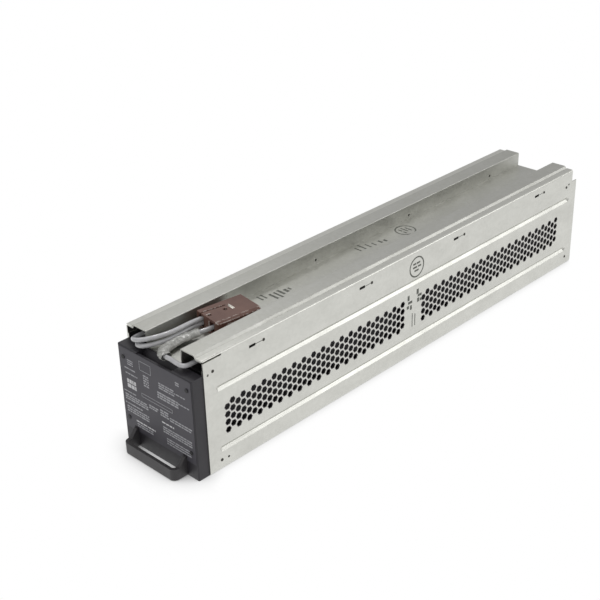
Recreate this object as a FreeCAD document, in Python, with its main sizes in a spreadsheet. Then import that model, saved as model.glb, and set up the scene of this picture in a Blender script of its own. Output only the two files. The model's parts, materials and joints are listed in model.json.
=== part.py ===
import FreeCAD, Part
import math
import os
import re
import Sketcher

# A battery cartridge of a rack UPS: eight sealed 12 V batteries in a row in a folded steel tray, under a
# steel lid with two hollow rails, with a moulded cap, a label plate and a strap handle at the front and a
# two-pole connector on three short leads.
#
# Frame: millimetres, +Z up, +Y towards the rear end, origin under the middle of the case. Each sub-part is
# drawn with Y counted from the cap's front face and placed back by half the case's length.

Vector = FreeCAD.Vector

SIZES = (
    # batteries
    ("battery_count", 8, "batteries in the row"),
    ("battery_depth", 70.0, "one battery, along the row"),
    ("battery_across", 90.0, "one battery, across the row"),
    ("battery_tall", 102.0, "one battery, over its lid"),
    ("battery_lid", 9.0, "height of the battery's lid"),
    ("battery_step", 0.7, "step from the battery's case in to its lid"),
    ("battery_edge", 1.6, "chamfer of the battery's upright edges"),
    ("tab_reach", 35.0, "battery terminals from the middle line"),
    ("tab_offset", 24.0, "battery terminals from the battery's middle, along the row"),
    ("tab_across", 6.3, "width of a terminal tab"),
    ("tab_gauge", 0.8, "thickness of a terminal tab"),
    ("tab_tall", 7.6, "height of a terminal tab"),
    ("tab_foot", 3.4, "foot of a terminal tab"),
    ("well_across", 13.0, "terminal well, across"),
    ("well_depth", 2.6, "terminal well, down"),
    # sheet steel
    ("gauge", 1.2, "thickness of the sheet steel"),
    ("bend_radius", 0.8, "inside radius of a fold"),
    ("side_gap", 6.6, "battery to side wall"),
    ("ledge_gap", 0.2, "inward lip of a side wall to the lid's slope"),
    ("ledge_drop", 2.0, "lip below the top of the rails"),
    ("rear_setback", 9.0, "lips and lid stop short of the rear end"),
    ("rear_flange", 24.0, "rear plate's flanges, along the side walls"),
    ("rear_drop", 14.8, "side wall behind the lips, below them"),
    ("tab_length", 22.0, "front wall's side tabs, along the side walls"),
    ("tab_rise", 8.0, "side tabs above the front wall"),
    ("relief_length", 22.0, "slit under the lip at the front"),
    ("relief_tall", 1.6, "height of that slit"),
    ("front_wall_drop", 3.3, "front wall below the top of the cap"),
    # side wall slots, beads and vents
    ("slot_first", 69.1, "first small slot, from the cap's face"),
    ("slot_pitch", 149.8, "from one small slot to the next"),
    ("slot_length", 7.0, "length of a small slot"),
    ("slot_tall", 1.8, "height of a small slot"),
    ("slot_drop", 9.6, "small slots below the lip"),
    ("bead_margin", 15.6, "stiffening beads, from either end of the wall"),
    ("bead_drop", 35.2, "middle of the upper bead below the lip"),
    ("bead_lower", 21.5, "middle of the lower bead"),
    ("bead_tall", 6.2, "height of a bead"),
    ("bead_depth", 2.0, "depth that a bead is pressed in"),
    ("bead_lean", 55.0, "lean of a bead's flanks, in degrees from straight in"),
    ("bead_ridge", 0.6, "bead's ridge inside, wider than its hollow on each side"),
    ("bead_clear", 1.5, "beads to the sheets that are notched round them"),
    ("vent_across", 6.4, "vent opening, corner to corner"),
    ("vent_pitch", 6.67, "from one vent column to the next"),
    ("vent_row_pitch", 8.28, "from one vent to the next in a column"),
    ("vent_rows", 4, "vents in a column"),
    ("vent_margin", 38.3, "first and last vent columns, from the case's ends"),
    ("vent_gap", 33.8, "between the two fields of vents"),
    ("vent_lowest", 38.4, "lowest vent"),
    ("tab_rivet_inset", 7, "lower front rivet, from the rear edge of the front wall's tab"),
    ("rear_rivet_inset", 3.6, "rear rivets, from the front edge of the rear plate's flange"),
    ("rear_rivet_drop", 4, "upper rear rivet, below the rear plate's top"),
    ("rivet_tail", 1, "how far a rivet's tail stands past the sheets"),
    ("screw_rise", 3, "handle screw, above the middle of the strap's height"),
    ("thread_depth", 0.6, "screw's shank less its core"),
    ("cut_over", 1, "how far a cut runs past the face that it opens"),
    # lid
    ("rail_inner", 23.8, "inner face of a rail, from the middle line"),
    ("rail_clear", 6.6, "terminals to the outer edge of a rail's top"),
    ("rail_rise", 16.1, "rail above the middle panel"),
    ("rail_slope", 2.6, "lean of a rail's outer side"),
    ("foot_gap", 0.9, "lid's feet to the side walls"),
    ("ear_length", 18.0, "riveted ears under the lid's feet"),
    ("ear_tall", 12.0, "how far the ears reach down"),
    # fastenings
    ("rivet_shank", 2.4, "diameter of the blind rivets"),
    ("rivet_head", 3.4, "diameter of their heads"),
    ("rivet_head_tall", 0.5, "height of their heads"),
    ("rivet_offset", 14.4, "lid rivet behind its slot"),
    ("rivet_low", 9.9, "lower rivets of the side walls, above the base"),
    ("pin_shank", 3.0, "diameter of the cap's push pins"),
    ("pin_head", 4.4, "diameter of their heads"),
    ("pin_reach", 44.3, "push pins from the middle line"),
    ("pin_drop", 11.7, "upper push pins below the top of the cap"),
    ("pin_lower", 28.2, "lower push pins"),
    ("hole_fit", 0.2, "hole wider than what goes through it"),
    # foam and insulation
    ("floor_pad", 1.0, "insulating sheet under the batteries"),
    ("top_foam", 2.1, "foam between the batteries and the lid"),
    ("top_foam_across", 40.0, "width of that foam"),
    ("front_foam", 3.0, "foam in front of the first battery"),
    ("rear_space", 25.6, "space behind the last battery"),
    ("rear_foam_drop", 22.0, "rear foam below the tops of the batteries"),
    ("foam_strip_tall", 12.0, "upper foam strips between the batteries and the walls"),
    ("foam_strip_start", 25.0, "foam strips behind the front of the row"),
    ("foam_strip_end", 15.0, "foam strips short of the rear of the row"),
    ("foam_clear", 1.0, "foam strips to the beads"),
    ("soft_gap", 0.3, "soft piece to its neighbour"),
    # front cap
    ("cap_depth", 13.0, "depth of the cap"),
    ("cap_inset", 1.1, "cap inside the outer faces of the side walls"),
    ("cap_drop", 1.2, "top of the cap below the lid's middle panel"),
    ("cap_wall", 2.2, "wall of the cap"),
    ("cap_edge", 1.2, "rounding of the cap's front edges"),
    ("scoop_across", 48.6, "finger scoop in the cap's top edge"),
    ("scoop_depth", 6.6, "depth of that scoop"),
    ("label_gauge", 0.3, "thickness of the label"),
    ("label_bottom", 16.6, "label's lower edge above the base"),
    ("label_inset", 1.6, "label inside the cap's edges"),
    # handle
    ("grip_across", 73.0, "handle, outside to outside"),
    ("grip_reach", 16.8, "handle in front of the cap's face"),
    ("grip_tall", 11.8, "height of the handle's strap"),
    ("grip_bar", 3.4, "thickness of the handle's bar"),
    ("grip_leg", 4.0, "thickness of the handle's legs"),
    ("grip_round", 6.0, "rounding of the handle's corners"),
    ("grip_lift", 0.8, "handle above the base"),
    ("grip_foot", 8.0, "height of the legs' gussets"),
    ("grip_foot_deep", 7.0, "reach of the legs' gussets"),
    ("screw_shank", 3.5, "diameter of the handle's screws"),
    ("screw_head", 6.5, "diameter of their heads"),
    ("screw_head_tall", 2.0, "height of their heads"),
    # connector
    ("plug_across", 35.4, "connector, across"),
    ("plug_length", 50.0, "connector, along"),
    ("plug_tall", 16.5, "connector, up"),
    ("plug_x", 1.0, "middle of the connector, across"),
    ("plug_y", 91.9, "middle of the connector, from the cap's face"),
    ("plug_turn", 8.0, "connector turned, in degrees, seen from above"),
    ("plug_bore_x", 8.6, "its wire bores, from its middle"),
    ("plug_bore_across", 8.4, "width of a wire bore"),
    ("plug_bore_tall", 11.0, "height of a wire bore"),
    ("plug_stack", 2.5, "two leads in one bore, above and below its middle"),
    ("plug_axis", 8.2, "height of its contacts"),
    ("plug_corner", 2.0, "cut corners of its wire end"),
    ("plug_chamfer", 2.2, "its chamfered edges"),
    ("plug_slit_deep", 2.6, "depth of the slits and windows in its top"),
    ("plug_slit_across", 1.6, "width of its slanted slit"),
    ("plug_slit_start", 9.1, "slanted slit from its middle, at the wire end"),
    ("plug_slit_stop", 6.8, "slanted slit from its middle, at the slit's other end"),
    ("plug_slit_reach", 2.0, "slanted slit past the connector's middle"),
    ("plug_gap_left", 6.0, "its cross slit starts this far left of its middle"),
    ("plug_gap_across", 9.0, "length of its cross slit"),
    ("plug_gap_along", 2.4, "width of its cross slit"),
    ("plug_gap_y", 4.2, "cross slit behind the connector's middle"),
    ("plug_window", 3.6, "side of its two square windows"),
    ("plug_window_left", 2.2, "square windows start this far left of its middle"),
    ("plug_window_first", 2.2, "first square window behind the wire end"),
    ("plug_window_second", 20.0, "second square window behind the wire end"),
    ("plug_chamber_extra", 1.6, "mating chambers wider than the wire bores, on each side"),
    ("plug_chamber_wall", 2.4, "floor and roof of the mating chambers"),
    ("plug_groove_long", 28.0, "length of the grooves in its sides"),
    ("plug_groove_tall", 3.6, "height of those grooves"),
    ("plug_groove_drop", 5.4, "grooves below its top"),
    ("plug_groove_deep", 1.4, "depth of those grooves"),
    ("spring_gauge", 1.2, "thickness of its spring"),
    ("spring_proud", 0.4, "spring above the connector's top"),
    ("tongue_across", 8.0, "width of a contact's tongue"),
    ("tongue_gauge", 2.2, "thickness of a contact's tongue"),
    ("tongue_setback", 4.0, "tongues short of the mating end"),
    ("plug_chamber", 20.0, "depth of its mating chambers"),
    ("plug_barrel", 12.0, "length of a contact's crimp barrel"),
    ("plug_wire_in", 6.0, "how far the leads go into their bores"),
    ("plug_lead_in", 14.0, "straight end of a lead at the connector"),
    # leads
    ("lead_across", 4.6, "diameter of a lead"),
    ("sleeve_across", 7.8, "diameter of the sleeve on the right-hand lead"),
    ("jumper_across", 4.2, "diameter of a jumper wire"),
    ("shoe_across", 9.4, "receptacle, across"),
    ("shoe_thick", 3.6, "receptacle, along the row"),
    ("shoe_tall", 8.4, "receptacle, up"),
    ("shoe_lift", 1.2, "receptacle above the terminal's well"),
    ("return_lift", 7.2, "return lead above the receptacles"),
    ("return_level_run", 22.0, "return lead level behind its rail's open end"),
    ("return_rise_run", 30.0, "length over which it rises from there"),
    ("return_end", 14.0, "return lead comes down this far before the end of the row"),
    ("return_bend", 9.0, "bends of the return lead behind the row"),
    ("return_dip", 5.0, "return lead behind the row, below the receptacles' middle"),
)

# Sizes that follow from the ones above. Each is bound by an expression of its own.
WORKED = (
    ("half_width", "battery_across / 2 + side_gap + gauge"),
    ("row_start", "cap_depth + gauge + front_foam"),
    ("row_length", "battery_count * battery_depth"),
    ("case_length", "row_start + row_length + rear_space + gauge"),
    ("battery_base", "gauge + floor_pad"),
    ("battery_top", "battery_base + battery_tall"),
    ("panel_top", "battery_top + top_foam + gauge"),
    ("rail_top", "panel_top + rail_rise"),
    ("ledge_top", "rail_top - ledge_drop"),
    ("bead_upper", "ledge_top - bead_drop"),
    ("foot_top", "ledge_top - gauge"),
    ("foot_reach", "half_width - gauge - foot_gap"),
    ("rail_outer", "tab_reach + rail_clear"),
    ("ledge_across", "half_width - rail_outer - rail_slope - ledge_gap"),
    ("rail_lean", "rail_slope * gauge / (rail_top - foot_top)"),
    ("rear_top", "ledge_top - rear_drop"),
    ("lid_rear", "case_length - rear_setback"),
    ("cap_top", "panel_top - cap_drop"),
    ("pin_upper", "cap_top - pin_drop"),
    ("cap_half", "half_width - cap_inset"),
    ("front_wall_top", "cap_top - front_wall_drop"),
    ("slot_level", "ledge_top - slot_drop"),
    ("slot_centre", "slot_first + slot_length / 2"),
    ("tab_base", "battery_top - well_depth"),
    ("shoe_base", "tab_base + shoe_lift"),
    ("wire_level", "shoe_base + shoe_tall / 2"),
    ("return_level", "shoe_base + shoe_tall + return_lift"),
)

doc = FreeCAD.newDocument("BatteryCartridge")
sheet = doc.addObject("Spreadsheet::Sheet", "Size")
for row, (alias, number, meaning) in enumerate(SIZES, 1):
    sheet.set(f"A{row}", alias)
    sheet.set(f"B{row}", str(number))
    sheet.set(f"C{row}", meaning)
    sheet.setAlias(f"B{row}", alias)
place = doc.addObject("App::VarSet", "Place")
OWNER = {alias: "Size" for alias, number, meaning in SIZES}
OWNER.update({name: "Place" for name, rule in WORKED})


def bound(rule):
    """An expression with every size's name led by the object that holds it."""
    return re.sub(r"[a-z_]+", lambda word: f"{OWNER[word[0]]}.{word[0]}" if word[0] in OWNER else word[0],
                  rule)


for name, rule in WORKED:
    place.addProperty("App::PropertyFloat", name, "Worked")
    place.setExpression(name, bound(rule))
doc.recompute()


def value(name):
    """The number that a size or a worked size has now."""
    return float(getattr(sheet if OWNER[name] == "Size" else place, name))


# ---------------------------------------------------------------- building blocks

parts = []


def keep(thing, label):
    """Take a finished object as a sub-part: its label is its file's name."""
    thing.Label = label
    parts.append(thing)
    return thing


def new_body(label):
    """An empty body, drawn from the cap's face and placed back by half the case."""
    body = doc.addObject("PartDesign::Body", "Body")
    body.setExpression("Placement.Base.y", bound("-case_length / 2"))
    return keep(body, label)


def origin_feature(body, role):
    return next(feature for feature in body.Origin.OriginFeatures if feature.Role == role)


def new_sketch(body, role, offset):
    sketch = body.newObject("Sketcher::SketchObject", "Sketch")
    sketch.AttachmentSupport = (origin_feature(body, role), [""])
    sketch.MapMode = "FlatFace"
    sketch.setExpression("AttachmentOffset.Base.z", bound(offset))
    return sketch


def pin_point(sketch, line, end, across, up):
    """Hold one point of a sketch at a pair of expressions."""
    for kind, rule in (("DistanceX", across), ("DistanceY", up)):
        index = sketch.addConstraint(Sketcher.Constraint(kind, -1, 1, line, end, 1.0))
        sketch.setExpression(f"Constraints[{index}]", bound(rule))


def draw_polygon(sketch, points):
    """Add one closed outline whose corners are pairs of expressions."""
    first = sketch.GeometryCount
    count = len(points)
    ring = [Vector(math.cos(2 * math.pi * n / count), math.sin(2 * math.pi * n / count), 0) * 10
            for n in range(count)]
    for n in range(count):
        sketch.addGeometry(Part.LineSegment(ring[n], ring[(n + 1) % count]))
    for n in range(count):
        sketch.addConstraint(Sketcher.Constraint("Coincident", first + n, 2, first + (n + 1) % count, 1))
    for n, (across, up) in enumerate(points):
        pin_point(sketch, first + n, 1, across, up)


def draw_circle(sketch, across, up, diameter):
    """Add one circle, its centre and diameter given by expressions."""
    line = sketch.addGeometry(Part.Circle(Vector(0, 0, 0), Vector(0, 0, 1), 1.0))
    pin_point(sketch, line, 3, across, up)
    index = sketch.addConstraint(Sketcher.Constraint("Diameter", line, 1.0))
    sketch.setExpression(f"Constraints[{index}]", bound(diameter))


def box_points(left, right, low, high):
    return ((left, low), (right, low), (right, high), (left, high))


def grow(body, kind, sketch, length, reverse=False, middle=False, taper=None):
    """A pad or a pocket of a sketch."""
    feature = body.newObject(f"PartDesign::{kind}", kind)
    feature.Profile = sketch
    feature.setExpression("Length", bound(length))
    feature.Reversed = reverse
    feature.Midplane = middle
    if taper:
        feature.setExpression("TaperAngle", bound(taper))
    return feature


def block(body, kind, x_range, y_range, z_range):
    """A pad or a pocket of a box, from three pairs of expressions."""
    low, high = z_range
    sketch = new_sketch(body, "XY_Plane", low if kind == "Pad" else high)
    draw_polygon(sketch, box_points(*x_range, *y_range))
    return grow(body, kind, sketch, f"{high} - ({low})")


def both_sides(body, kind, x_range, y_range, z_range):
    """Two mirrored boxes in one sketch."""
    low, high = z_range
    near, far = x_range
    sketch = new_sketch(body, "XY_Plane", low if kind == "Pad" else high)
    draw_polygon(sketch, box_points(near, far, *y_range))
    draw_polygon(sketch, box_points(f"-({far})", f"-({near})", *y_range))
    return grow(body, kind, sketch, f"{high} - ({low})")


def soften(body, size, wanted, kind="Fillet"):
    """Round or chamfer the edges of the body's last feature that pass a test."""
    doc.recompute()
    base = body.Tip
    names = [f"Edge{n}" for n, edge in enumerate(base.Shape.Edges, 1) if wanted(edge)]
    feature = body.newObject(f"PartDesign::{kind}", kind)
    feature.Base = (base, names)
    feature.setExpression("Radius" if kind == "Fillet" else "Size", bound(size))
    return feature


def repeat(body, feature, count, step):
    """Repeat a pad or a pocket along the length of the case."""
    pattern = body.newObject("PartDesign::LinearPattern", "Pattern")
    pattern.Originals = [feature]
    pattern.Direction = (origin_feature(body, "Y_Axis"), [""])
    pattern.Mode = "Spacing"
    pattern.Occurrences = count
    pattern.setExpression("Offset", bound(step))
    body.Tip = pattern
    return pattern


def runs_along(edge, axis):
    """Whether a straight edge lies along X (0), Y (1) or Z (2)."""
    if edge.Curve.TypeId != "Part::GeomLine":
        return False
    return abs(edge.Curve.Direction[axis]) > 0.999


def near(number, target, slack=0.01):
    return abs(number - target) < slack


def middle_of(edge):
    return edge.BoundBox.Center


def box(x_low, y_low, z_low, x_size, y_size, z_size):
    """A Part box, all six sizes given by expressions."""
    thing = doc.addObject("Part::Box", "Box")
    for name, rule in (("Length", x_size), ("Width", y_size), ("Height", z_size)):
        thing.setExpression(name, bound(rule))
    for axis, rule in zip("xyz", (x_low, f"{y_low} - case_length / 2", z_low)):
        thing.setExpression(f"Placement.Base.{axis}", bound(rule))
    return thing


def rod(centre, axis, diameter, length):
    """A Part cylinder that starts at a point and runs along X, -X, Y, -Y or Z."""
    turns = {"x": (0, 1, 0, 90), "-x": (0, 1, 0, -90), "y": (1, 0, 0, -90), "-y": (1, 0, 0, 90),
             "z": (0, 0, 1, 0)}
    x, y, z, angle = turns[axis]
    thing = doc.addObject("Part::Cylinder", "Rod")
    thing.Placement = FreeCAD.Placement(Vector(0, 0, 0), FreeCAD.Rotation(Vector(x, y, z), angle))
    thing.setExpression("Radius", bound(f"({diameter}) / 2"))
    thing.setExpression("Height", bound(length))
    for name, rule in zip("xyz", (centre[0], f"{centre[1]} - case_length / 2", centre[2])):
        thing.setExpression(f"Placement.Base.{name}", bound(rule))
    return thing


def join(things):
    """Fuse objects; solids that don't touch stay separate solids of the result."""
    thing = doc.addObject("Part::MultiFuse", "Join")
    thing.Shapes = things
    return thing


def cut(base, tool):
    thing = doc.addObject("Part::Cut", "Cut")
    thing.Base = base
    thing.Tool = tool
    return thing


def gather(things):
    """A group of separate solids in one sub-part."""
    thing = doc.addObject("Part::Compound", "Group")
    thing.Links = things
    return thing


# ---------------------------------------------------------------- sheet steel

vent_columns = 2 * int((value("case_length") / 2 - value("vent_margin") - value("vent_gap") / 2)
                       / value("vent_pitch") / 2 + 1.001)
slot_count = 1 + int((value("lid_rear") - value("slot_first") - value("slot_length") - value("rivet_offset")
                      - value("ear_length")) / value("slot_pitch"))


def tray():
    """The folded tray: floor, side walls with inward lips, front wall with side tabs."""
    body = new_body("tray")
    section = new_sketch(body, "XZ_Plane", "-cap_depth")
    draw_polygon(section, (
        ("-half_width", "0"), ("half_width", "0"), ("half_width", "ledge_top"),
        ("half_width - ledge_across", "ledge_top"), ("half_width - ledge_across", "ledge_top - gauge"),
        ("half_width - gauge", "ledge_top - gauge"), ("half_width - gauge", "gauge"),
        ("gauge - half_width", "gauge"), ("gauge - half_width", "ledge_top - gauge"),
        ("ledge_across - half_width", "ledge_top - gauge"), ("ledge_across - half_width", "ledge_top"),
        ("-half_width", "ledge_top")))
    grow(body, "Pad", section, "case_length - cap_depth", reverse=True)
    outside = value("half_width")
    inside = outside - value("gauge")
    soften(body, "bend_radius + gauge",
           lambda edge: runs_along(edge, 1) and near(abs(middle_of(edge).x), outside))
    soften(body, "bend_radius",
           lambda edge: runs_along(edge, 1) and near(abs(middle_of(edge).x), inside))

    setback = new_sketch(body, "YZ_Plane", "0")
    draw_polygon(setback, box_points("lid_rear", "case_length + cut_over", "rear_top", "ledge_top + cut_over"))
    grow(body, "Pocket", setback, "4 * half_width", middle=True)

    block(body, "Pad", ("gauge - half_width", "half_width - gauge"),
          ("cap_depth", "cap_depth + gauge"), ("gauge / 2", "front_wall_top"))
    clear = "(bead_tall / 2 + bead_clear)"
    for low, high in (("2 * gauge + bend_radius", f"bead_lower - {clear}"),
                      (f"bead_lower + {clear}", f"bead_upper - {clear}"),
                      (f"bead_upper + {clear}", "front_wall_top + tab_rise")):
        both_sides(body, "Pad", ("half_width - 2 * gauge", "half_width - gauge / 2"),
                   ("cap_depth", "cap_depth + tab_length"), (low, high))

    for level in ("bead_lower", "bead_upper"):
        for side in (1, -1):
            press_bead(body, side, level)

    relief = new_sketch(body, "YZ_Plane", "0")
    draw_polygon(relief, box_points("cap_depth - cut_over", "cap_depth + relief_length",
                                    "ledge_top - gauge - relief_tall", "ledge_top - gauge"))
    grow(body, "Pocket", relief, "4 * half_width", middle=True)

    slot = new_sketch(body, "YZ_Plane", "0")
    draw_polygon(slot, box_points("slot_first", "slot_first + slot_length",
                                  "slot_level - slot_tall / 2", "slot_level + slot_tall / 2"))
    draw_circle(slot, "slot_centre + rivet_offset", "slot_level", "rivet_shank + hole_fit")
    repeat(body, grow(body, "Pocket", slot, "4 * half_width", middle=True), slot_count, "slot_pitch")

    ends = new_sketch(body, "YZ_Plane", "0")
    for across, up in FRONT_RIVETS + REAR_RIVETS:
        draw_circle(ends, across, up, "rivet_shank + hole_fit")
    for across, up in OPEN_HOLES:
        draw_circle(ends, across, up, "rivet_shank")
    grow(body, "Pocket", ends, "4 * half_width", middle=True)

    pins = new_sketch(body, "XZ_Plane", "-cap_depth")
    for side in ("", "-"):
        for level in ("pin_upper", "pin_lower"):
            draw_circle(pins, f"{side}pin_reach", level, "pin_shank + hole_fit")
        draw_circle(pins, *handle_screw_at(side), "screw_shank + hole_fit")
    grow(body, "Pocket", pins, "4 * gauge", middle=True)
    vent_fields(body)
    return body


# Rivet places on the side walls: along the wall and up.
FRONT_RIVETS = (("cap_depth + tab_length / 2", "front_wall_top + tab_rise / 2"),
                ("cap_depth + tab_length - tab_rivet_inset", "rivet_low"))
REAR_RIVETS = (("case_length - rear_flange + rear_rivet_inset", "rear_top - rear_rivet_drop"),
               ("case_length - rear_flange / 2", "rivet_low"))
OPEN_HOLES = (("cap_depth + 5", "cap_top - 1"), ("cap_depth + tab_length + 1.4", "rivet_low - 0.5"),
              ("case_length - rear_flange / 2 - 3.5", "rear_top - 1.6"))


def handle_screw_at(side):
    return f"{side}(grip_across - grip_leg) / 2", "grip_lift + grip_tall / 2 + screw_rise"


def press_bead(body, side, level):
    """A long bead pressed into a side wall: a ridge inside, then its hollow outside."""
    wall = "half_width" if side > 0 else "-half_width"
    for kind, half, bite, start in (("Pad", "bead_tall / 2 + bead_ridge", "bead_depth", "gauge"),
                                    ("Pocket", "bead_tall / 2", "bead_depth", "0")):
        plane = f"{wall} - {side} * ({start})"
        sketch = new_sketch(body, "YZ_Plane", plane)
        front = f"cap_depth + bead_margin - ({half})"
        rear = f"case_length - bead_margin + ({half})"
        draw_polygon(sketch, (
            (f"{front} + {half}", f"{level} - ({half})"), (f"{rear} - ({half})", f"{level} - ({half})"),
            (rear, level), (f"{rear} - ({half})", f"{level} + {half}"),
            (f"{front} + {half}", f"{level} + {half}"), (front, level)))
        # A pad grows along the plane's normal, +X, and a pocket against it.
        grow(body, kind, sketch, bite, reverse=(side > 0) == (kind == "Pad"), taper="-bead_lean")


def vent_fields(body):
    """Two fields of six-sided vents in the right-hand wall, every second column half a step up."""
    sketch = new_sketch(body, "YZ_Plane", "half_width")
    for field in ("vent_margin", "case_length / 2 + vent_gap / 2"):
        for column in (0, 1):
            centre = f"{field} + {column} * vent_pitch"
            for row in range(int(value("vent_rows"))):
                level = f"vent_lowest + {row + column / 2} * vent_row_pitch"
                draw_polygon(sketch, [(f"{centre} + vent_across / 2 * {math.cos(math.radians(60 * n)):.6f}",
                                       f"{level} + vent_across / 2 * {math.sin(math.radians(60 * n)):.6f}")
                                      for n in range(6)])
    repeat(body, grow(body, "Pocket", sketch, "2 * gauge"), vent_columns // 2, "2 * vent_pitch")


def lid():
    """The lid: a middle panel between two hollow rails, with feet under the tray's lips."""
    body = new_body("lid")
    section = new_sketch(body, "XZ_Plane", "-cap_depth")
    top_right = (("rail_inner", "panel_top"), ("rail_inner", "rail_top"), ("rail_outer", "rail_top"),
                 ("rail_outer + rail_slope", "foot_top"), ("foot_reach", "foot_top"))
    under_right = (("foot_reach", "foot_top - gauge"),
                   ("rail_outer + rail_slope - gauge", "foot_top - gauge"),
                   ("rail_outer - gauge + rail_lean", "rail_top - gauge"),
                   ("rail_inner + gauge", "rail_top - gauge"), ("rail_inner + gauge", "panel_top - gauge"))
    right = top_right + under_right
    left = tuple((f"-({across})", up) for across, up in reversed(right))
    draw_polygon(section, right + left)
    grow(body, "Pad", section, "lid_rear - cap_depth", reverse=True)
    inner = value("rail_inner")
    outer = value("rail_outer")
    soften(body, "bend_radius",
           lambda edge: runs_along(edge, 1) and near(middle_of(edge).z, value("rail_top"))
           and (near(abs(middle_of(edge).x), inner) or near(abs(middle_of(edge).x), outer)))

    both_sides(body, "Pad", ("foot_reach - gauge", "foot_reach"),
               ("slot_centre + rivet_offset - ear_length / 2", "slot_centre + rivet_offset + ear_length / 2"),
               ("foot_top - ear_tall", "foot_top - gauge / 2"))
    repeat(body, body.Tip, slot_count, "slot_pitch")
    holes = new_sketch(body, "YZ_Plane", "0")
    draw_circle(holes, "slot_centre + rivet_offset", "slot_level", "rivet_shank + hole_fit")
    repeat(body, grow(body, "Pocket", holes, "4 * half_width", middle=True), slot_count, "slot_pitch")
    return body


def rear_plate():
    """The folded rear plate, standing on the tray's floor between the side walls."""
    body = new_body("rear_plate")
    plan = new_sketch(body, "XY_Plane", "gauge + bend_radius")
    reach = "half_width - gauge - hole_fit"
    front = "case_length - rear_flange"
    draw_polygon(plan, (
        (f"-({reach})", front), (f"gauge - ({reach})", front), (f"gauge - ({reach})", "case_length - gauge"),
        (f"{reach} - gauge", "case_length - gauge"), (f"{reach} - gauge", front), (reach, front),
        (reach, "case_length"), (f"-({reach})", "case_length")))
    grow(body, "Pad", plan, "rear_top - 3 - gauge - bend_radius")
    soften(body, "bend_radius + gauge", lambda edge: runs_along(edge, 2)
           and near(middle_of(edge).y, value("case_length")))
    holes = new_sketch(body, "YZ_Plane", "0")
    for across, up in REAR_RIVETS:
        draw_circle(holes, across, up, "rivet_shank + hole_fit")
    for level in ("bead_lower", "bead_upper"):
        draw_polygon(holes, box_points(f"{front} - cut_over", "case_length - bead_margin + bead_tall",
                                       f"{level} - bead_tall / 2 - bead_clear",
                                       f"{level} + bead_tall / 2 + bead_clear"))
    grow(body, "Pocket", holes, "4 * half_width", middle=True)
    return body


def wall_rivets(label, places, grip, copies=1):
    """Blind rivets through both side walls: heads outside, shanks through the sheets."""
    rivets = []
    for along, up in places:
        for copy in range(copies):
            spot = f"{along} + {copy} * slot_pitch"
            for side, axis in (("", "-x"), ("-", "x")):
                seat = f"{side}half_width"
                shank = rod((seat, spot, up), axis, "rivet_shank", grip)
                outward = "x" if axis == "-x" else "-x"
                head = rod((seat, spot, up), outward, "rivet_head", "rivet_head_tall")
                rivets.append(join([shank, head]))
    return keep(gather(rivets), label)


# ---------------------------------------------------------------- batteries and wiring


def battery_start(number):
    return f"row_start + {number - 1} * battery_depth"


def tab_along(number):
    """Where a battery's terminals stand: every second battery is turned end for end."""
    turned = "+" if number % 2 else "-"
    return f"{battery_start(number)} + battery_depth / 2 {turned} tab_offset"


def battery(number):
    """One sealed battery: case, stepped lid and two terminal wells."""
    body = new_body(f"battery_{number}")
    start = battery_start(number)
    half = "battery_across / 2"
    block(body, "Pad", (f"-{half}", half), (start, f"{start} + battery_depth"),
          ("battery_base", "battery_top - battery_lid"))
    soften(body, "battery_edge", lambda edge: runs_along(edge, 2), "Chamfer")
    block(body, "Pad", (f"battery_step - {half}", f"{half} - battery_step"),
          (f"{start} + battery_step", f"{start} + battery_depth - battery_step"),
          ("battery_top - battery_lid", "battery_top"))
    both_sides(body, "Pocket", ("tab_reach - well_across / 2", "tab_reach + well_across / 2"),
               (f"{tab_along(number)} - well_across / 2", f"{tab_along(number)} + well_across / 2"),
               ("battery_top - well_depth", "battery_top"))
    return body


def battery_tabs(number):
    """The battery's two terminals: flat tabs on small feet."""
    away = "" if number % 2 else "-"
    pair = []
    for side in ("", "-"):
        left = f"{side}tab_reach - tab_across / 2"
        front = f"{tab_along(number)} - tab_gauge / 2"
        upright = box(left, front, "tab_base", "tab_across", "tab_gauge", "tab_tall")
        foot_y = f"{front} - tab_foot" if away else f"{front} + tab_gauge"
        foot = box(left, foot_y, "tab_base", "tab_across", "tab_foot", "tab_gauge")
        pair.append(join([upright, foot]))
    return keep(gather(pair), f"battery_{number}_tabs")


def shoe(number, side):
    """An insulated receptacle pushed on a terminal tab."""
    sheath = box(f"{side}tab_reach - shoe_across / 2", f"{tab_along(number)} - shoe_thick / 2", "shoe_base",
                 "shoe_across", "shoe_thick", "shoe_tall")
    slit = box(f"{side}tab_reach - (tab_across + hole_fit) / 2",
               f"{tab_along(number)} - (tab_gauge + hole_fit) / 2",
               "shoe_base - cut_over", "tab_across + hole_fit", "tab_gauge + hole_fit",
               "tab_tall - shoe_lift + cut_over + hole_fit")
    return cut(sheath, slit)


def jumper(number):
    """The insulated wire from one battery to the next, between two receptacles."""
    side = "" if number % 2 else "-"
    first, second = tab_along(number), tab_along(number + 1)
    wire = rod((f"{side}tab_reach", f"{first} + shoe_thick / 2", "wire_level"), "y", "jumper_across",
               f"{second} - ({first}) - shoe_thick")
    return keep(wire, f"jumper_{number}")


def jumper_side(number):
    """Odd jumpers are on the right-hand side of the row, even ones on the left."""
    return "" if number % 2 else "-"


# ---------------------------------------------------------------- front end


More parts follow.
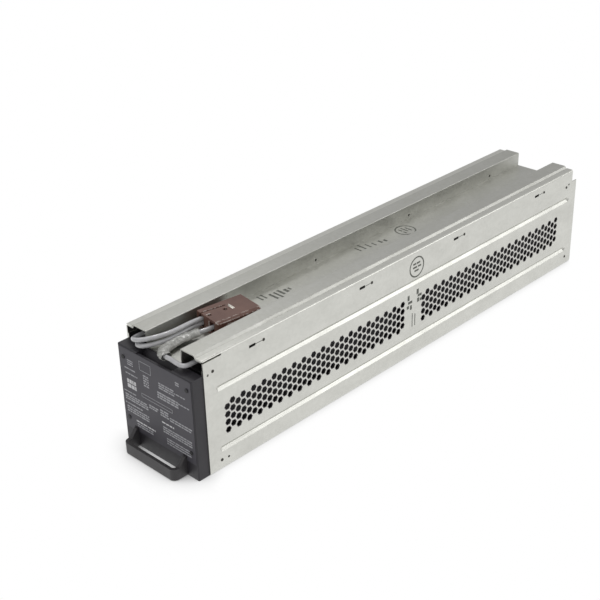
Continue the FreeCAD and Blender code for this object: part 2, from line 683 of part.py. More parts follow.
def front_cap():
    """The moulded cap: face, sides, floor and a top with a finger scoop."""
    body = new_body("front_cap")
    block(body, "Pad", ("-cap_half", "cap_half"), ("0", "cap_depth"), ("0", "cap_top"))
    soften(body, "cap_edge", lambda edge: near(middle_of(edge).y, 0.0)
           and (runs_along(edge, 2) or near(middle_of(edge).z, value("cap_top"))))
    block(body, "Pocket", ("cap_wall - cap_half", "cap_half - cap_wall"), ("cap_wall", "cap_depth + cut_over"),
          ("cap_wall", "cap_top - scoop_depth - cap_wall"))
    both_sides(body, "Pocket", ("scoop_across / 2 + cap_wall", "cap_half - cap_wall"),
               ("cap_wall", "cap_depth + cut_over"),
               ("cap_top - scoop_depth - cap_wall - cut_over", "cap_top - cap_wall"))
    scoop = new_sketch(body, "YZ_Plane", "0")
    draw_polygon(scoop, (("-1", "cap_top - cap_edge"), ("cap_wall", "cap_top - cap_edge"),
                         ("cap_wall", "cap_top - scoop_depth"), ("cap_depth / 2", "cap_top - scoop_depth"),
                         ("cap_depth - cut_over", "cap_top + cut_over"), ("-cut_over", "cap_top + cut_over")))
    grow(body, "Pocket", scoop, "scoop_across", middle=True)
    for side in ("", "-"):
        for level in ("pin_upper", "pin_lower"):
            add_boss(body, f"{side}pin_reach", level, "pin_shank + hole_fit")
        add_boss(body, *handle_screw_at(side), "screw_shank + hole_fit")
    return body


def add_boss(body, across, up, bore):
    """A hollow boss from the cap's face back to the tray's front wall."""
    boss = new_sketch(body, "XZ_Plane", "-cap_wall / 2")
    draw_circle(boss, across, up, f"{bore} + 2 * cap_wall")
    grow(body, "Pad", boss, "cap_depth - cap_wall / 2", reverse=True)
    hole = new_sketch(body, "XZ_Plane", "1")
    draw_circle(hole, across, up, bore)
    grow(body, "Pocket", hole, "cap_depth + 2 * cut_over")


def label_plate():
    """The face label, with a hole round each push pin."""
    body = new_body("label_plate")
    sheet_outline = new_sketch(body, "XZ_Plane", "0")
    draw_polygon(sheet_outline, box_points("label_inset - cap_half", "cap_half - label_inset",
                                           "label_bottom", "cap_top - label_inset"))
    for side in ("", "-"):
        for level in ("pin_upper", "pin_lower"):
            draw_circle(sheet_outline, f"{side}pin_reach", level, "pin_shank + 2 * hole_fit")
    grow(body, "Pad", sheet_outline, "label_gauge")
    both_sides(body, "Pocket", ("grip_across / 2 - grip_leg - cut_over", "grip_across / 2 + cut_over"),
               ("-label_gauge - cut_over", "cut_over"),
               ("label_bottom - cut_over", "grip_lift + grip_tall + grip_foot + cut_over"))
    return body


def cap_pins():
    """Push pins that hold the cap to the tray's front wall."""
    pins = []
    for side in ("", "-"):
        for level in ("pin_upper", "pin_lower"):
            seat = (f"{side}pin_reach", "-label_gauge", level)
            shank = rod(seat, "y", "pin_shank", "cap_depth + gauge + label_gauge + 1.5")
            head = rod(seat, "-y", "pin_head", "0.7")
            pins.append(join([shank, head]))
    return keep(gather(pins), "cap_pins")


def pull_handle():
    """The strap handle: a rounded U in plan, its legs widened where they meet the cap."""
    body = new_body("pull_handle")
    plan = new_sketch(body, "XY_Plane", "grip_lift")
    half = "grip_across / 2"
    draw_polygon(plan, (
        (f"-{half}", "0"), (f"-{half}", "-grip_reach"), (half, "-grip_reach"), (half, "0"),
        (f"{half} - grip_leg", "0"), (f"{half} - grip_leg", "grip_bar - grip_reach"),
        (f"grip_leg - {half}", "grip_bar - grip_reach"), (f"grip_leg - {half}", "0")))
    grow(body, "Pad", plan, "grip_tall")
    outer = value("grip_across") / 2
    inner = outer - value("grip_leg")
    soften(body, "grip_round", lambda edge: runs_along(edge, 2) and near(abs(middle_of(edge).x), outer)
           and near(middle_of(edge).y, -value("grip_reach")))
    soften(body, "grip_round - grip_bar",
           lambda edge: runs_along(edge, 2) and near(abs(middle_of(edge).x), inner)
           and near(middle_of(edge).y, value("grip_bar") - value("grip_reach")))
    for side in ("", "-"):
        plane = f"{side}({half} - grip_leg / 2)"
        gusset = new_sketch(body, "YZ_Plane", plane)
        draw_polygon(gusset, (("0", "grip_lift + grip_tall / 2"), ("0", "grip_lift + grip_tall + grip_foot"),
                              ("-grip_foot_deep / 3", "grip_lift + grip_tall + grip_foot"),
                              ("-grip_foot_deep - 2 * cut_over", "grip_lift + grip_tall"),
                              ("-grip_foot_deep - 2 * cut_over", "grip_lift + grip_tall / 2")))
        grow(body, "Pad", gusset, "grip_leg", middle=True)
    for side in ("", "-"):
        hole = new_sketch(body, "XZ_Plane", "-1")
        draw_circle(hole, *handle_screw_at(side), "screw_shank - thread_depth")
        grow(body, "Pocket", hole, "grip_foot_deep + cut_over", reverse=True)
    return body


# ---------------------------------------------------------------- foam


def handle_screws():
    """The handle's screws, driven from behind the tray's front wall."""
    screws = []
    for side in ("", "-"):
        across, up = handle_screw_at(side)
        seat = (across, "cap_depth + gauge", up)
        shank = rod(seat, "-y", "screw_shank - thread_depth", "cap_depth + gauge + grip_foot_deep - 1")
        screws.append(join([shank, rod(seat, "y", "screw_head", "screw_head_tall")]))
    keep(gather(screws), "handle_screws")


def foam():
    """Insulating sheet, foam pads and strips that keep the batteries still."""
    half = "(battery_across / 2)"
    keep(box(f"-{half}", "row_start", "gauge", "battery_across", "row_length", "floor_pad"), "floor_pad")
    keep(box("-top_foam_across / 2", "row_start", "battery_top", "top_foam_across", "row_length", "top_foam"),
         "top_foam")
    foam_reach = "(pin_reach - pin_head / 2 - soft_gap)"
    foam_base = "(grip_lift + grip_tall + screw_head)"
    keep(box(f"-{foam_reach}", "cap_depth + gauge", foam_base, f"2 * {foam_reach}", "front_foam",
             f"battery_top - 4 - {foam_base}"), "front_foam")
    keep(box(f"-{half} + 2", "row_start + row_length", "gauge", "battery_across - 4", "rear_space",
             "battery_tall - rear_foam_drop"), "rear_foam")
    strips = []
    fold = "gauge + bend_radius"
    for level, tall in (("bead_upper + bead_tall / 2 + foam_clear", "foam_strip_tall"),
                        (fold, f"bead_lower - bead_tall / 2 - foam_clear - ({fold})")):
        for low in (half, f"-{half} - side_gap"):
            strips.append(box(low, "row_start + foam_strip_start", level, "side_gap",
                              "row_length - foam_strip_start - foam_strip_end", tall))
    keep(gather(strips), "side_foam")


# ---------------------------------------------------------------- connector


def plug_body(label):
    """A body in the connector's own frame: origin under its middle, Y towards its mating end."""
    body = doc.addObject("PartDesign::Body", "Body")
    body.Placement = FreeCAD.Placement(Vector(0, 0, 0),
                                       FreeCAD.Rotation(Vector(0, 0, 1), -value("plug_turn")))
    body.setExpression("Placement.Base.x", bound("plug_x"))
    body.setExpression("Placement.Base.y", bound("plug_y - case_length / 2"))
    body.setExpression("Placement.Base.z", bound("panel_top"))
    return keep(body, label)


def connector_housing():
    """The moulded two-pole housing: wire bores at one end, mating chambers at the other."""
    body = plug_body("connector_housing")
    half = "plug_across / 2"
    end = "plug_length / 2"
    plan = new_sketch(body, "XY_Plane", "0")
    draw_polygon(plan, (
        (f"-{half}", f"plug_corner - {end}"), (f"plug_corner - {half}", f"-{end}"),
        (f"{half} - plug_corner", f"-{end}"), (half, f"plug_corner - {end}"), (half, end), (f"-{half}", end)))
    grow(body, "Pad", plan, "plug_tall")
    side = value("plug_across") / 2
    soften(body, "plug_chamfer",
           lambda edge: runs_along(edge, 1) or (near(middle_of(edge).z, value("plug_tall"))
                                                and near(middle_of(edge).x, side)), "Chamfer")
    slits = new_sketch(body, "XY_Plane", "plug_tall")
    slit = "plug_slit_across / 2"
    draw_polygon(slits, ((f"-plug_slit_start - {slit}", f"-{end} - cut_over"),
                         (f"{slit} - plug_slit_start", f"-{end} - cut_over"),
                         (f"{slit} - plug_slit_stop", "plug_slit_reach"),
                         (f"-plug_slit_stop - {slit}", "plug_slit_reach")))
    draw_polygon(slits, box_points("-plug_gap_left", "plug_gap_across - plug_gap_left",
                                   "plug_gap_y - plug_gap_along / 2", "plug_gap_y + plug_gap_along / 2"))
    for along in (f"plug_window_first - {end}", f"plug_window_second - {end}"):
        draw_polygon(slits, box_points("-plug_window_left", "plug_window - plug_window_left",
                                       along, f"{along} + plug_window"))
    grow(body, "Pocket", slits, "plug_slit_deep")
    for side in (1, -1):
        middle = f"{side} * plug_bore_x"
        block(body, "Pocket", (f"{middle} - plug_bore_across / 2", f"{middle} + plug_bore_across / 2"),
              (f"-{end} - cut_over", f"{end} - plug_chamber + cut_over"),
              ("plug_axis - plug_bore_tall / 2", "plug_axis + plug_bore_tall / 2"))
        reach = "(plug_bore_across / 2 + plug_chamber_extra)"
        block(body, "Pocket", (f"{middle} - {reach}", f"{middle} + {reach}"),
              (f"{end} - plug_chamber", f"{end} + cut_over"),
              ("plug_chamber_wall", "plug_tall - plug_chamber_wall"))
        groove = new_sketch(body, "YZ_Plane", f"{side} * {half}")
        draw_polygon(groove, box_points("-plug_groove_long / 2", "plug_groove_long / 2",
                                        "plug_tall - plug_groove_drop - plug_groove_tall",
                                        "plug_tall - plug_groove_drop"))
        grow(body, "Pocket", groove, "plug_groove_deep", reverse=side < 0)
    return body


def connector_spring():
    """The flat steel spring that shows in the housing's cross slit."""
    body = plug_body("connector_spring")
    block(body, "Pad", ("hole_fit - plug_gap_left", "plug_gap_across - plug_gap_left - hole_fit"),
          ("plug_gap_y - spring_gauge / 2", "plug_gap_y + spring_gauge / 2"),
          ("plug_tall - plug_slit_deep", "plug_tall + spring_proud"))
    return body


def contact(label, side):
    """One contact: a crimp barrel in its bore and a flat tongue in its mating chamber."""
    body = plug_body(label)
    middle = f"{side} * plug_bore_x"
    end = "plug_length / 2"
    barrel = (f"-{end} + plug_wire_in", f"-{end} + plug_wire_in + plug_barrel")
    block(body, "Pad", (f"{middle} - plug_bore_across / 2", f"{middle} + plug_bore_across / 2"),
          barrel, ("plug_axis - plug_bore_tall / 2", "plug_axis + plug_bore_tall / 2"))
    block(body, "Pad", (f"{middle} - tongue_across / 2", f"{middle} + tongue_across / 2"),
          (f"{barrel[1]} - cut_over", f"{end} - tongue_setback"),
          ("plug_axis - tongue_gauge / 2", "plug_axis + tongue_gauge / 2"))
    return body


# ---------------------------------------------------------------- leads


def route_edges(points):
    """Straight runs joined by tangent arcs, each arc as large as its two runs allow."""
    edges = []
    radii = []
    start = points[0]
    for before, corner, after in zip(points, points[1:], points[2:]):
        inward = (corner - before).normalize()
        outward = (after - corner).normalize()
        turn = inward.getAngle(outward)
        shorter = min((corner - before).Length, (after - corner).Length)
        reach = 0.45 * shorter
        radii.append(reach / math.tan(turn / 2))
        enter = corner - inward * reach
        leave = corner + outward * reach
        to_centre = (outward - inward).normalize()
        centre = corner + to_centre * (radii[-1] / math.cos(turn / 2))
        halfway = centre - to_centre * radii[-1]
        edges.append(Part.LineSegment(start, enter).toShape())
        edges.append(Part.Arc(enter, halfway, leave).toShape())
        start = leave
    edges.append(Part.LineSegment(start, points[-1]).toShape())
    return edges, radii


def sweep(edges, diameter):
    """A round tube along a chain of edges."""
    spine = Part.Wire(edges)
    first = edges[0]
    ring = Part.Wire(Part.Circle(first.valueAt(first.FirstParameter), first.tangentAt(first.FirstParameter),
                                 diameter / 2).toShape())
    return spine.makePipeShell([ring], True, False, 1)


def shift_back(points):
    """Route points counted from the cap's face, moved into the object's frame."""
    return [Vector(x, y - value("case_length") / 2, z) for x, y, z in points]


def tube(label, points, diameter):
    """A lead as a tube along its route; the volume is compared with section times length."""
    edges, radii = route_edges(points)
    shape = sweep(edges, diameter)
    length = sum(edge.Length for edge in edges)
    expected = math.pi * diameter ** 2 / 4 * length
    print(f"{label}: length {length:.1f}, radii {[round(r, 1) for r in radii]}, "
          f"volume ratio {shape.Volume / expected:.4f}")
    thing = doc.addObject("Part::Feature", "Tube")
    thing.Shape = shape
    keep(thing, label)
    return edges


def plug_point(side, along, up):
    """A point in the connector's frame, counted from the cap's face: at a bore, behind its front end."""
    turn = math.radians(value("plug_turn"))
    x = side * value("plug_bore_x")
    y = along - value("plug_length") / 2
    return (value("plug_x") + x * math.cos(turn) + y * math.sin(turn),
            value("plug_y") - x * math.sin(turn) + y * math.cos(turn),
            value("panel_top") + value("plug_axis") + up)


def plug_end(side, up):
    """The straight end of a lead in its bore."""
    seat = value("plug_wire_in")
    return (plug_point(side, seat - value("plug_lead_in"), up), plug_point(side, seat, up))


def free_route(points, side, up):
    """A free lead's points, and its straight end in a bore of the connector."""
    return tuple((x, y, value("panel_top") + z) for x, y, z in points) + plug_end(side, up)


# Free leads, from the open front end of a rail to the connector: points counted across from the middle line,
# back from the cap's face and up from the lid's middle panel.
LEFT_UPPER_ROUTE = free_route((
    (-37.2, 14.0, 5.9), (-37.2, 9.2, 5.9), (-33.8, 4.8, 7.1), (-27.2, 4.6, 8.7), (-20.6, 10.0, 9.9),
    (-15.6, 20.6, 10.3), (-12.6, 33.4, 10.4), (-12.4, 46.8, 10.6)), -1, value("plug_stack"))
LEFT_LOWER_ROUTE = free_route((
    (-32.2, 14.0, 2.1), (-32.2, 9.8, 2.1), (-29.6, 5.6, 2.5), (-23.8, 5.8, 3.1), (-18.6, 11.4, 3.7),
    (-14.4, 21.2, 4.1), (-11.9, 33.2, 4.7), (-12.3, 46.6, 5.4)), -1, -value("plug_stack"))
RIGHT_ROUTE = free_route((
    (36.0, 14.0, 4.9), (36.0, 9.8, 4.9), (32.4, 6.2, 4.8), (25.6, 6.4, 4.6), (16.2, 7.6, 4.5),
    (6.6, 7.2, 4.5), (-0.4, 12.6, 4.5), (-3.8, 22.8, 4.5), (-4.3, 35.2, 4.7), (-0.9, 46.8, 6.3)), 1, 0)


def leads():
    """The three free leads and the sleeve on the right-hand one."""
    across = value("lead_across")
    tube("left_lead_upper", shift_back(LEFT_UPPER_ROUTE), across)
    tube("left_lead_lower", shift_back(LEFT_LOWER_ROUTE), across)
    edges = tube("right_lead", shift_back(RIGHT_ROUTE), across)
    covered = edges[4:-3]
    sleeve = doc.addObject("Part::Feature", "Sleeve")
    sleeve.Shape = sweep(covered, value("sleeve_across")).cut(sweep(covered, across + value("hole_fit")))
    keep(sleeve, "right_lead_sleeve")


def covered_leads():
    """What the leads do inside the rails: to the first battery, and back from the last one."""
    across = value("lead_across")
    level = value("wire_level")
    half_shoe = value("shoe_thick") / 2
    half_battery = value("battery_depth") / 2
    first_tab = value("row_start") + half_battery + value("tab_offset") - half_shoe
    for label, route in (("left_run_upper", LEFT_UPPER_ROUTE), ("left_run_lower", LEFT_LOWER_ROUTE)):
        x, y, z = route[0]
        slope = (first_tab - y) / 3
        tube(label, shift_back([(x, y, z), (x, y + slope, z), (x, first_tab - slope, level),
                                (x, first_tab, level)]), across)
    x, y, z = RIGHT_ROUTE[0]
    high = value("return_level")
    row_end = value("row_start") + value("row_length")
    last_tab = row_end - half_battery - value("tab_offset") + half_shoe
    behind = row_end + value("rear_space") / 2
    left = -value("tab_reach")
    level_end = y + value("return_level_run")
    bend = value("return_bend")
    low = level - value("return_dip")
    tube("return_run", shift_back([
        (x, y, z), (x, level_end, z), (x, level_end + value("return_rise_run"), high),
        (x, row_end - value("return_end"), high), (x, behind, high - bend / 3),
        (x - bend * 2 / 3, behind, low), (left + bend, behind, low), (left, behind - bend / 3, level),
        (left, last_tab, level)]), across)


# ---------------------------------------------------------------- assembly

tray()
lid()
rear_plate()
wall_rivets("front_rivets", FRONT_RIVETS, "2 * gauge + rivet_tail")
wall_rivets("rear_rivets", REAR_RIVETS, "2 * gauge + rivet_tail")
wall_rivets("lid_rivets", (("slot_centre + rivet_offset", "slot_level"),), "2 * gauge + foot_gap + rivet_tail",
            slot_count)
foam()
battery_total = int(value("battery_count"))
for number in range(1, battery_total + 1):
    battery(number)
    battery_tabs(number)
for number in range(1, battery_total):
    jumper(number)
shoes = [shoe(number, jumper_side(number)) for number in range(1, battery_total)]
shoes += [shoe(number + 1, jumper_side(number)) for number in range(1, battery_total)]
keep(gather(shoes), "jumper_receptacles")
keep(gather([shoe(1, "-"), shoe(battery_total, "-")]), "lead_receptacles")
front_cap()
label_plate()
cap_pins()
pull_handle()
handle_screws()
connector_housing()
connector_spring()
contact("contact_left", -1)
contact("contact_right", 1)
leads()
covered_leads()
doc.recompute()

faults = [thing.Label for thing in doc.Objects if {"Invalid", "Error"} & set(thing.State)]
faults += [part.Label for part in parts if part.Shape.isNull() or not part.Shape.isValid()]
if faults:
    raise RuntimeError(f"objects that failed: {faults}")
os.makedirs("parts", exist_ok=True)
for part in parts:
    part.Shape.exportStep(f"parts/{part.Label}.step")
print(f"{len(parts)} sub-parts written")
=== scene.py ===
"""A battery cartridge of a rack power supply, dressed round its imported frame.

A folded steel tray holds eight sealed batteries under a lid with two hollow rails. A moulded cap with a
printed label and a strap handle closes the front, and three short leads run from the rails to a connector.
Places are counted in millimetres from the middle of the cap's front face, at the level of the base.
"""

import json
import logging
import math
import random
from dataclasses import dataclass, field
from enum import Enum

import bmesh
import bpy
from mathutils import Matrix, Vector

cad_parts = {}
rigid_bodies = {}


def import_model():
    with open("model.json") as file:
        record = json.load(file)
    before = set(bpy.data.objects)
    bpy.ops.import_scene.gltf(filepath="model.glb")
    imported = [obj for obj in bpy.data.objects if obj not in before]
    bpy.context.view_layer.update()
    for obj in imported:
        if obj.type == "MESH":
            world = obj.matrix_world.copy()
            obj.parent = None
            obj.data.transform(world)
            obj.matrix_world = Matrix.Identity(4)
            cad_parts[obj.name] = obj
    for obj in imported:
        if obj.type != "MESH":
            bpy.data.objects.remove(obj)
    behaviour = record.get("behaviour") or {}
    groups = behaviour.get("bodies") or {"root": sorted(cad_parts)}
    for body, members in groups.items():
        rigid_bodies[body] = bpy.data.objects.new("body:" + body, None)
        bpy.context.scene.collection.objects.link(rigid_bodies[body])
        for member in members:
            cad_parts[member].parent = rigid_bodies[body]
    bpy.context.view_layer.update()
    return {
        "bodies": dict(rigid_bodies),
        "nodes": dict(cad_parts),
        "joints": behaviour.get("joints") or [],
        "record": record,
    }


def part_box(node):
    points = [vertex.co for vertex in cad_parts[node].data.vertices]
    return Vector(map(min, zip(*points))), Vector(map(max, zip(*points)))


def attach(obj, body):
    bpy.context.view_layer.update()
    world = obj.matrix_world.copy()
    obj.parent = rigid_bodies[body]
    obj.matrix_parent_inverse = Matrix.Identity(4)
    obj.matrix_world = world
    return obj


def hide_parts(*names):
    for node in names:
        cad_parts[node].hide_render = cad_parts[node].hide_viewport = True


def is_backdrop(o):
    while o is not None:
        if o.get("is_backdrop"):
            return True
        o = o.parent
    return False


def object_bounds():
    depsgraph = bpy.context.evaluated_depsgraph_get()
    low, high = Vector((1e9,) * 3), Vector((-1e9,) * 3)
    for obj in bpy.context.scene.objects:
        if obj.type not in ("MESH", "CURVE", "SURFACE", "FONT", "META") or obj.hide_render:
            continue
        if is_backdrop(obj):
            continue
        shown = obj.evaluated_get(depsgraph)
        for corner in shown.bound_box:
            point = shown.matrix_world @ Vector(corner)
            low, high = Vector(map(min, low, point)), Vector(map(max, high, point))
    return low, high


Tree = bpy.types.NodeTree
Node = bpy.types.Node
Socket = bpy.types.NodeSocket
Piece = bpy.types.Object
Material = bpy.types.Material
Work = bmesh.types.BMesh
Spot = tuple[float, float, float]

LOG = logging.getLogger("cartridge")
MM = 0.001
BODY = "root"
# Corners of a copied solid that lie this close are one. Edges that turn less than the first angle are left
# out, and edges that turn more than the second one are rounded.
MERGE_MM, FLAT_DEGREES, EDGE_DEGREES = 0.002, 1.5, 30.0
# The range of a noise that a pattern is spread from, and the roughness of the noise itself.
NOISE_LOW, NOISE_HIGH, NOISE_ROUGHNESS = 0.3, 0.7, 0.55
# How finely rivets, the sleeve and the leads are drawn.
DOME_SEGMENTS, DOME_RINGS, BORE_CORNERS = 24, 12, 16
SLEEVE_STEPS, SLEEVE_CORNERS = 150, 40
LEAD_ORDER, LEAD_STEPS, LEAD_FACETS = 3, 12, 5


class Slot(Enum):
    """The record's material slots that the scene's own pieces use."""

    STEEL = "galvanised_steel"
    CAP = "cap_plastic"
    LABEL = "label_vinyl"
    HANDLE = "handle_nylon"
    PIN = "pin_black"
    RIVET = "rivet_steel"
    CONNECTOR = "connector_brown"
    SPRING = "spring_steel"
    LEAD = "lead_jacket"
    SLEEVE = "lead_sleeve"


# ---- small tools


def srgb(hex_colour: str) -> tuple[float, float, float, float]:
    """Turn a colour as a screen shows it into linear light.

    Args:
        hex_colour: six hex digits after a #.

    Returns:
        Linear red, green, blue and an alpha of 1.
    """
    parts = [int(hex_colour[n:n + 2], 16) / 255 for n in (1, 3, 5)]
    linear = [c / 12.92 if c <= 0.04045 else ((c + 0.055) / 1.055) ** 2.4 for c in parts]
    return (*linear, 1.0)


def add_node(tree: Tree, kind: str, inputs: dict | None = None, **settings) -> Node:
    """Add one node with its settings, values and links.

    Args:
        tree: the tree that gets the node.
        kind: the node's type name.
        inputs: for each input, by name or number, a value, a socket, or a node whose first output is meant.
        settings: attributes of the node itself.

    Returns:
        The new node.
    """
    node = tree.nodes.new(kind)
    for key, value in settings.items():
        setattr(node, key, value)
    for key, value in (inputs or {}).items():
        source = value.outputs[0] if isinstance(value, Node) else value
        if isinstance(source, Socket):
            tree.links.new(source, node.inputs[key])
        else:
            node.inputs[key].default_value = source
    return node


def bare_tree(holder: Material | bpy.types.World) -> Tree:
    """Switch on the node tree of a material or world.

    Args:
        holder: the material or world.

    Returns:
        Its tree, emptied.
    """
    holder.use_nodes = True
    holder.node_tree.nodes.clear()
    return holder.node_tree


class Place:
    """Turns places on the cartridge, in millimetres, into the frame's metres."""

    face_y: float = 0.0
    panel: float = 0.0
    wall: float = 0.0

    @classmethod
    def read(cls) -> None:
        """Find the cap's front face, the lid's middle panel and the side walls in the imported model."""
        cls.face_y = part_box("front_cap")[0].y
        cls.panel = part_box("connector_housing")[0].z / MM
        cls.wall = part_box("tray")[1].x / MM

    @classmethod
    def at(cls, x: float, y: float, z: float) -> Vector:
        """A point from its places across, back from the cap's face and up from the base."""
        return Vector((x * MM, cls.face_y + y * MM, z * MM))


def link(name: str, data: bpy.types.ID) -> Piece:
    """Put data into the scene as an object.

    Args:
        name: the object's name.
        data: its mesh, curve, lamp or camera.

    Returns:
        The object.
    """
    piece = bpy.data.objects.new(name, data)
    bpy.context.scene.collection.objects.link(piece)
    return piece


def mesh_piece(name: str, work: Work) -> Piece:
    """Turn a mesh in the making into an object.

    Args:
        name: the name of the object and its mesh.
        work: the mesh in the making, which is freed.

    Returns:
        The object.
    """
    data = bpy.data.meshes.new(name)
    work.to_mesh(data)
    work.free()
    return link(name, data)


def dress(piece: Piece | str, finish: "Finish") -> Piece:
    """Give a piece one finish.

    Args:
        piece: the piece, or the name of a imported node.
        finish: the finish.

    Returns:
        The piece.
    """
    found = bpy.data.objects[piece] if isinstance(piece, str) else piece
    found.data.materials.clear()
    found.data.materials.append(finish.build())
    return found


def seat(piece: Piece, slot: Slot, *nodes: str) -> Piece:
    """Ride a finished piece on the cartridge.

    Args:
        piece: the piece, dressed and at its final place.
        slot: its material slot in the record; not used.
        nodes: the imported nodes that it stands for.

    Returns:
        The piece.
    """
    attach(piece, BODY)
    if nodes:
        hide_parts(*nodes)
    return piece


def baked(piece: Piece, name: str) -> Piece:
    """Replace an object by the plain mesh that its modifiers make.

    Args:
        piece: the object, which is removed.
        name: the new piece's name.

    Returns:
        The new piece.
    """
    graph = bpy.context.evaluated_depsgraph_get()
    data = bpy.data.meshes.new_from_object(piece.evaluated_get(graph), depsgraph=graph)
    data.name = name
    source = piece.data
    bpy.data.objects.remove(piece)
    if source.users == 0 and isinstance(source, bpy.types.Mesh):
        bpy.data.meshes.remove(source)
    return link(name, data)


def walled(piece: Piece, thickness: float) -> Piece:
    """Give an open surface a wall on its inner side.

    Args:
        piece: the surface.
        thickness: the wall in millimetres.

    Returns:
        The same piece, with its live modifier.
    """
    wall = piece.modifiers.new("wall", "SOLIDIFY")
    wall.thickness = thickness * MM
    wall.offset = -1
    return piece


def rounded_copy(name: str, node: str, width: float, segments: int = 3) -> Piece:
    """Copy a node's mesh, merged, with its edges rounded as a mould or a press leaves them.

    Args:
        name: the new piece's name.
        node: the node that is copied.
        width: width of the rounding in millimetres.
        segments: facets across the rounding.

    Returns:
        The new piece, with its modifiers applied.
    """
    work = bmesh.new()
    work.from_mesh(bpy.data.objects[node].data)
    bmesh.ops.remove_doubles(work, verts=work.verts, dist=MERGE_MM * MM)
    bmesh.ops.dissolve_limit(work, angle_limit=math.radians(FLAT_DEGREES), verts=work.verts, edges=work.edges)
    for face in work.faces:
        face.smooth = True
    piece = mesh_piece(name + "_base", work)
    bevel = piece.modifiers.new("round", "BEVEL")
    bevel.width = width * MM
    bevel.segments = segments
    bevel.limit_method = "ANGLE"
    bevel.angle_limit = math.radians(EDGE_DEGREES)
    bevel.use_clamp_overlap = True
    bevel.harden_normals = True
    shade = piece.modifiers.new("flats", "WEIGHTED_NORMAL")
    shade.keep_sharp = True
    return baked(piece, name)


# ---- Geometry Nodes


def new_tree(name: str, inputs: dict[str, str]) -> tuple[Tree, Node]:
    """Start a Geometry Nodes tree.

    Args:
        name: the tree's name.
        inputs: the kind of socket of each named input, after the geometry.

    Returns:
        The tree and its input node.
    """
    tree = bpy.data.node_groups.new(name, "GeometryNodeTree")
    tree.interface.new_socket("Geometry", in_out="INPUT", socket_type="NodeSocketGeometry")
    for label, kind in inputs.items():
        tree.interface.new_socket(label, in_out="INPUT", socket_type="NodeSocket" + kind)
    tree.interface.new_socket("Geometry", in_out="OUTPUT", socket_type="NodeSocketGeometry")
    return tree, add_node(tree, "NodeGroupInput")


def made_real(tree: Tree, shape: Node, material: Socket) -> Node:
    """Turn a shape's instances into real geometry with a material."""
    real = add_node(tree, "GeometryNodeRealizeInstances", {"Geometry": shape})
    return add_node(tree, "GeometryNodeSetMaterial", {"Geometry": real, "Material": material})


def scattered(tree: Tree, given: Node, shape: Node) -> Node:
    """Set a shape on each point of the given mesh."""
    points = add_node(tree, "GeometryNodeMeshToPoints", {"Mesh": given})
    return add_node(tree, "GeometryNodeInstanceOnPoints", {"Points": points, "Instance": shape})


def grown(name: str, spots: list[Vector], tree: Tree, values: dict, joined: bool = False) -> Piece:
    """Set a Geometry Nodes tree on a row of points.

    Args:
        name: the name of the object that carries the points.
        spots: the points.
        tree: the tree.
        values: the tree's inputs by their names.
        joined: whether the points make one line.

    Returns:
        The carrier with its live modifier.
    """
    work = bmesh.new()
    corners = [work.verts.new(spot) for spot in spots]
    if joined:
        for pair in zip(corners, corners[1:]):
            work.edges.new(pair)
    carrier = mesh_piece(name, work)
    modifier = carrier.modifiers.new("shape", "NODES")
    modifier.node_group = tree
    for item in tree.interface.items_tree:
        if item.item_type == "SOCKET" and item.in_out == "INPUT" and item.name in values:
            modifier[item.identifier] = values[item.name]
    return carrier


# ---- finishes


@dataclass
class Coat:
    """A material in the making: its tree, its shader, its patterns' coordinates and its colour so far."""

    tree: Tree
    shader: Node
    coords: Socket
    colour: tuple[float, ...] | Socket

    def pattern(self, kind: str, size: float, stretch: Spot = (1.0, 1.0, 1.0), **inputs: float) -> Node:
        """Add a pattern at a real size.

        Args:
            kind: the pattern node's type name.
            size: about how large its parts are, in millimetres.
            stretch: how much longer they are along each axis.
            inputs: the pattern node's own values.

        Returns:
            The pattern node.
        """
        scaled = add_node(self.tree, "ShaderNodeMapping", {
            "Vector": self.coords, "Scale": tuple(1 / (size * MM * s) for s in stretch)})
        return add_node(self.tree, kind, {"Vector": scaled, "Scale": 1.0, **inputs})

    def noise(self, size: float, detail: float = 3.0, stretch: Spot = (1.0, 1.0, 1.0)) -> Node:
        """A noise whose lumps are about a size in millimetres, with octaves of finer detail."""
        return self.pattern("ShaderNodeTexNoise", size, stretch, Detail=detail, Roughness=NOISE_ROUGHNESS)

    def spread(self, noise: Node, low: float, high: float) -> Node:
        """Spread the range that a noise really covers from low to high."""
        return add_node(self.tree, "ShaderNodeMapRange", {
            "Value": noise, "From Min": NOISE_LOW, "From Max": NOISE_HIGH, "To Min": low, "To Max": high})

    def blend(self, share: Node, other: str) -> None:
        """Blend the colour so far towards another one.

        Args:
            share: the pattern that gives the other colour's share.
            other: the other colour in hex.
        """
        # Sockets 6 and 7 are the Mix node's two colours, and 2 its blended colour.
        mix = add_node(self.tree, "ShaderNodeMix", {0: share, 6: self.colour, 7: srgb(other)}, data_type="RGBA")
        self.colour = mix.outputs[2]
        self.tree.links.new(self.colour, self.shader.inputs["Base Color"])

    def gloss(self, pattern: Node, low: float, high: float) -> None:
        """Let a noise swing the roughness from low to high."""
        self.tree.links.new(self.spread(pattern, low, high).outputs[0], self.shader.inputs["Roughness"])

    def emboss(self, pattern: Node, height: float, strength: float) -> None:
        """Let a pattern raise the surface.

        Args:
            pattern: the pattern.
            height: how high it raises the surface, in millimetres.
            strength: the share of that, at most 1.
        """
        bump = add_node(self.tree, "ShaderNodeBump", {
            "Height": pattern, "Distance": height * MM, "Strength": strength})
        self.tree.links.new(bump.outputs[0], self.shader.inputs["Normal"])

    def varnish(self, weight: float, roughness: float) -> None:
        """Lay a clear glossy skin on top."""
        self.shader.inputs["Coat Weight"].default_value = weight
        self.shader.inputs["Coat Roughness"].default_value = roughness


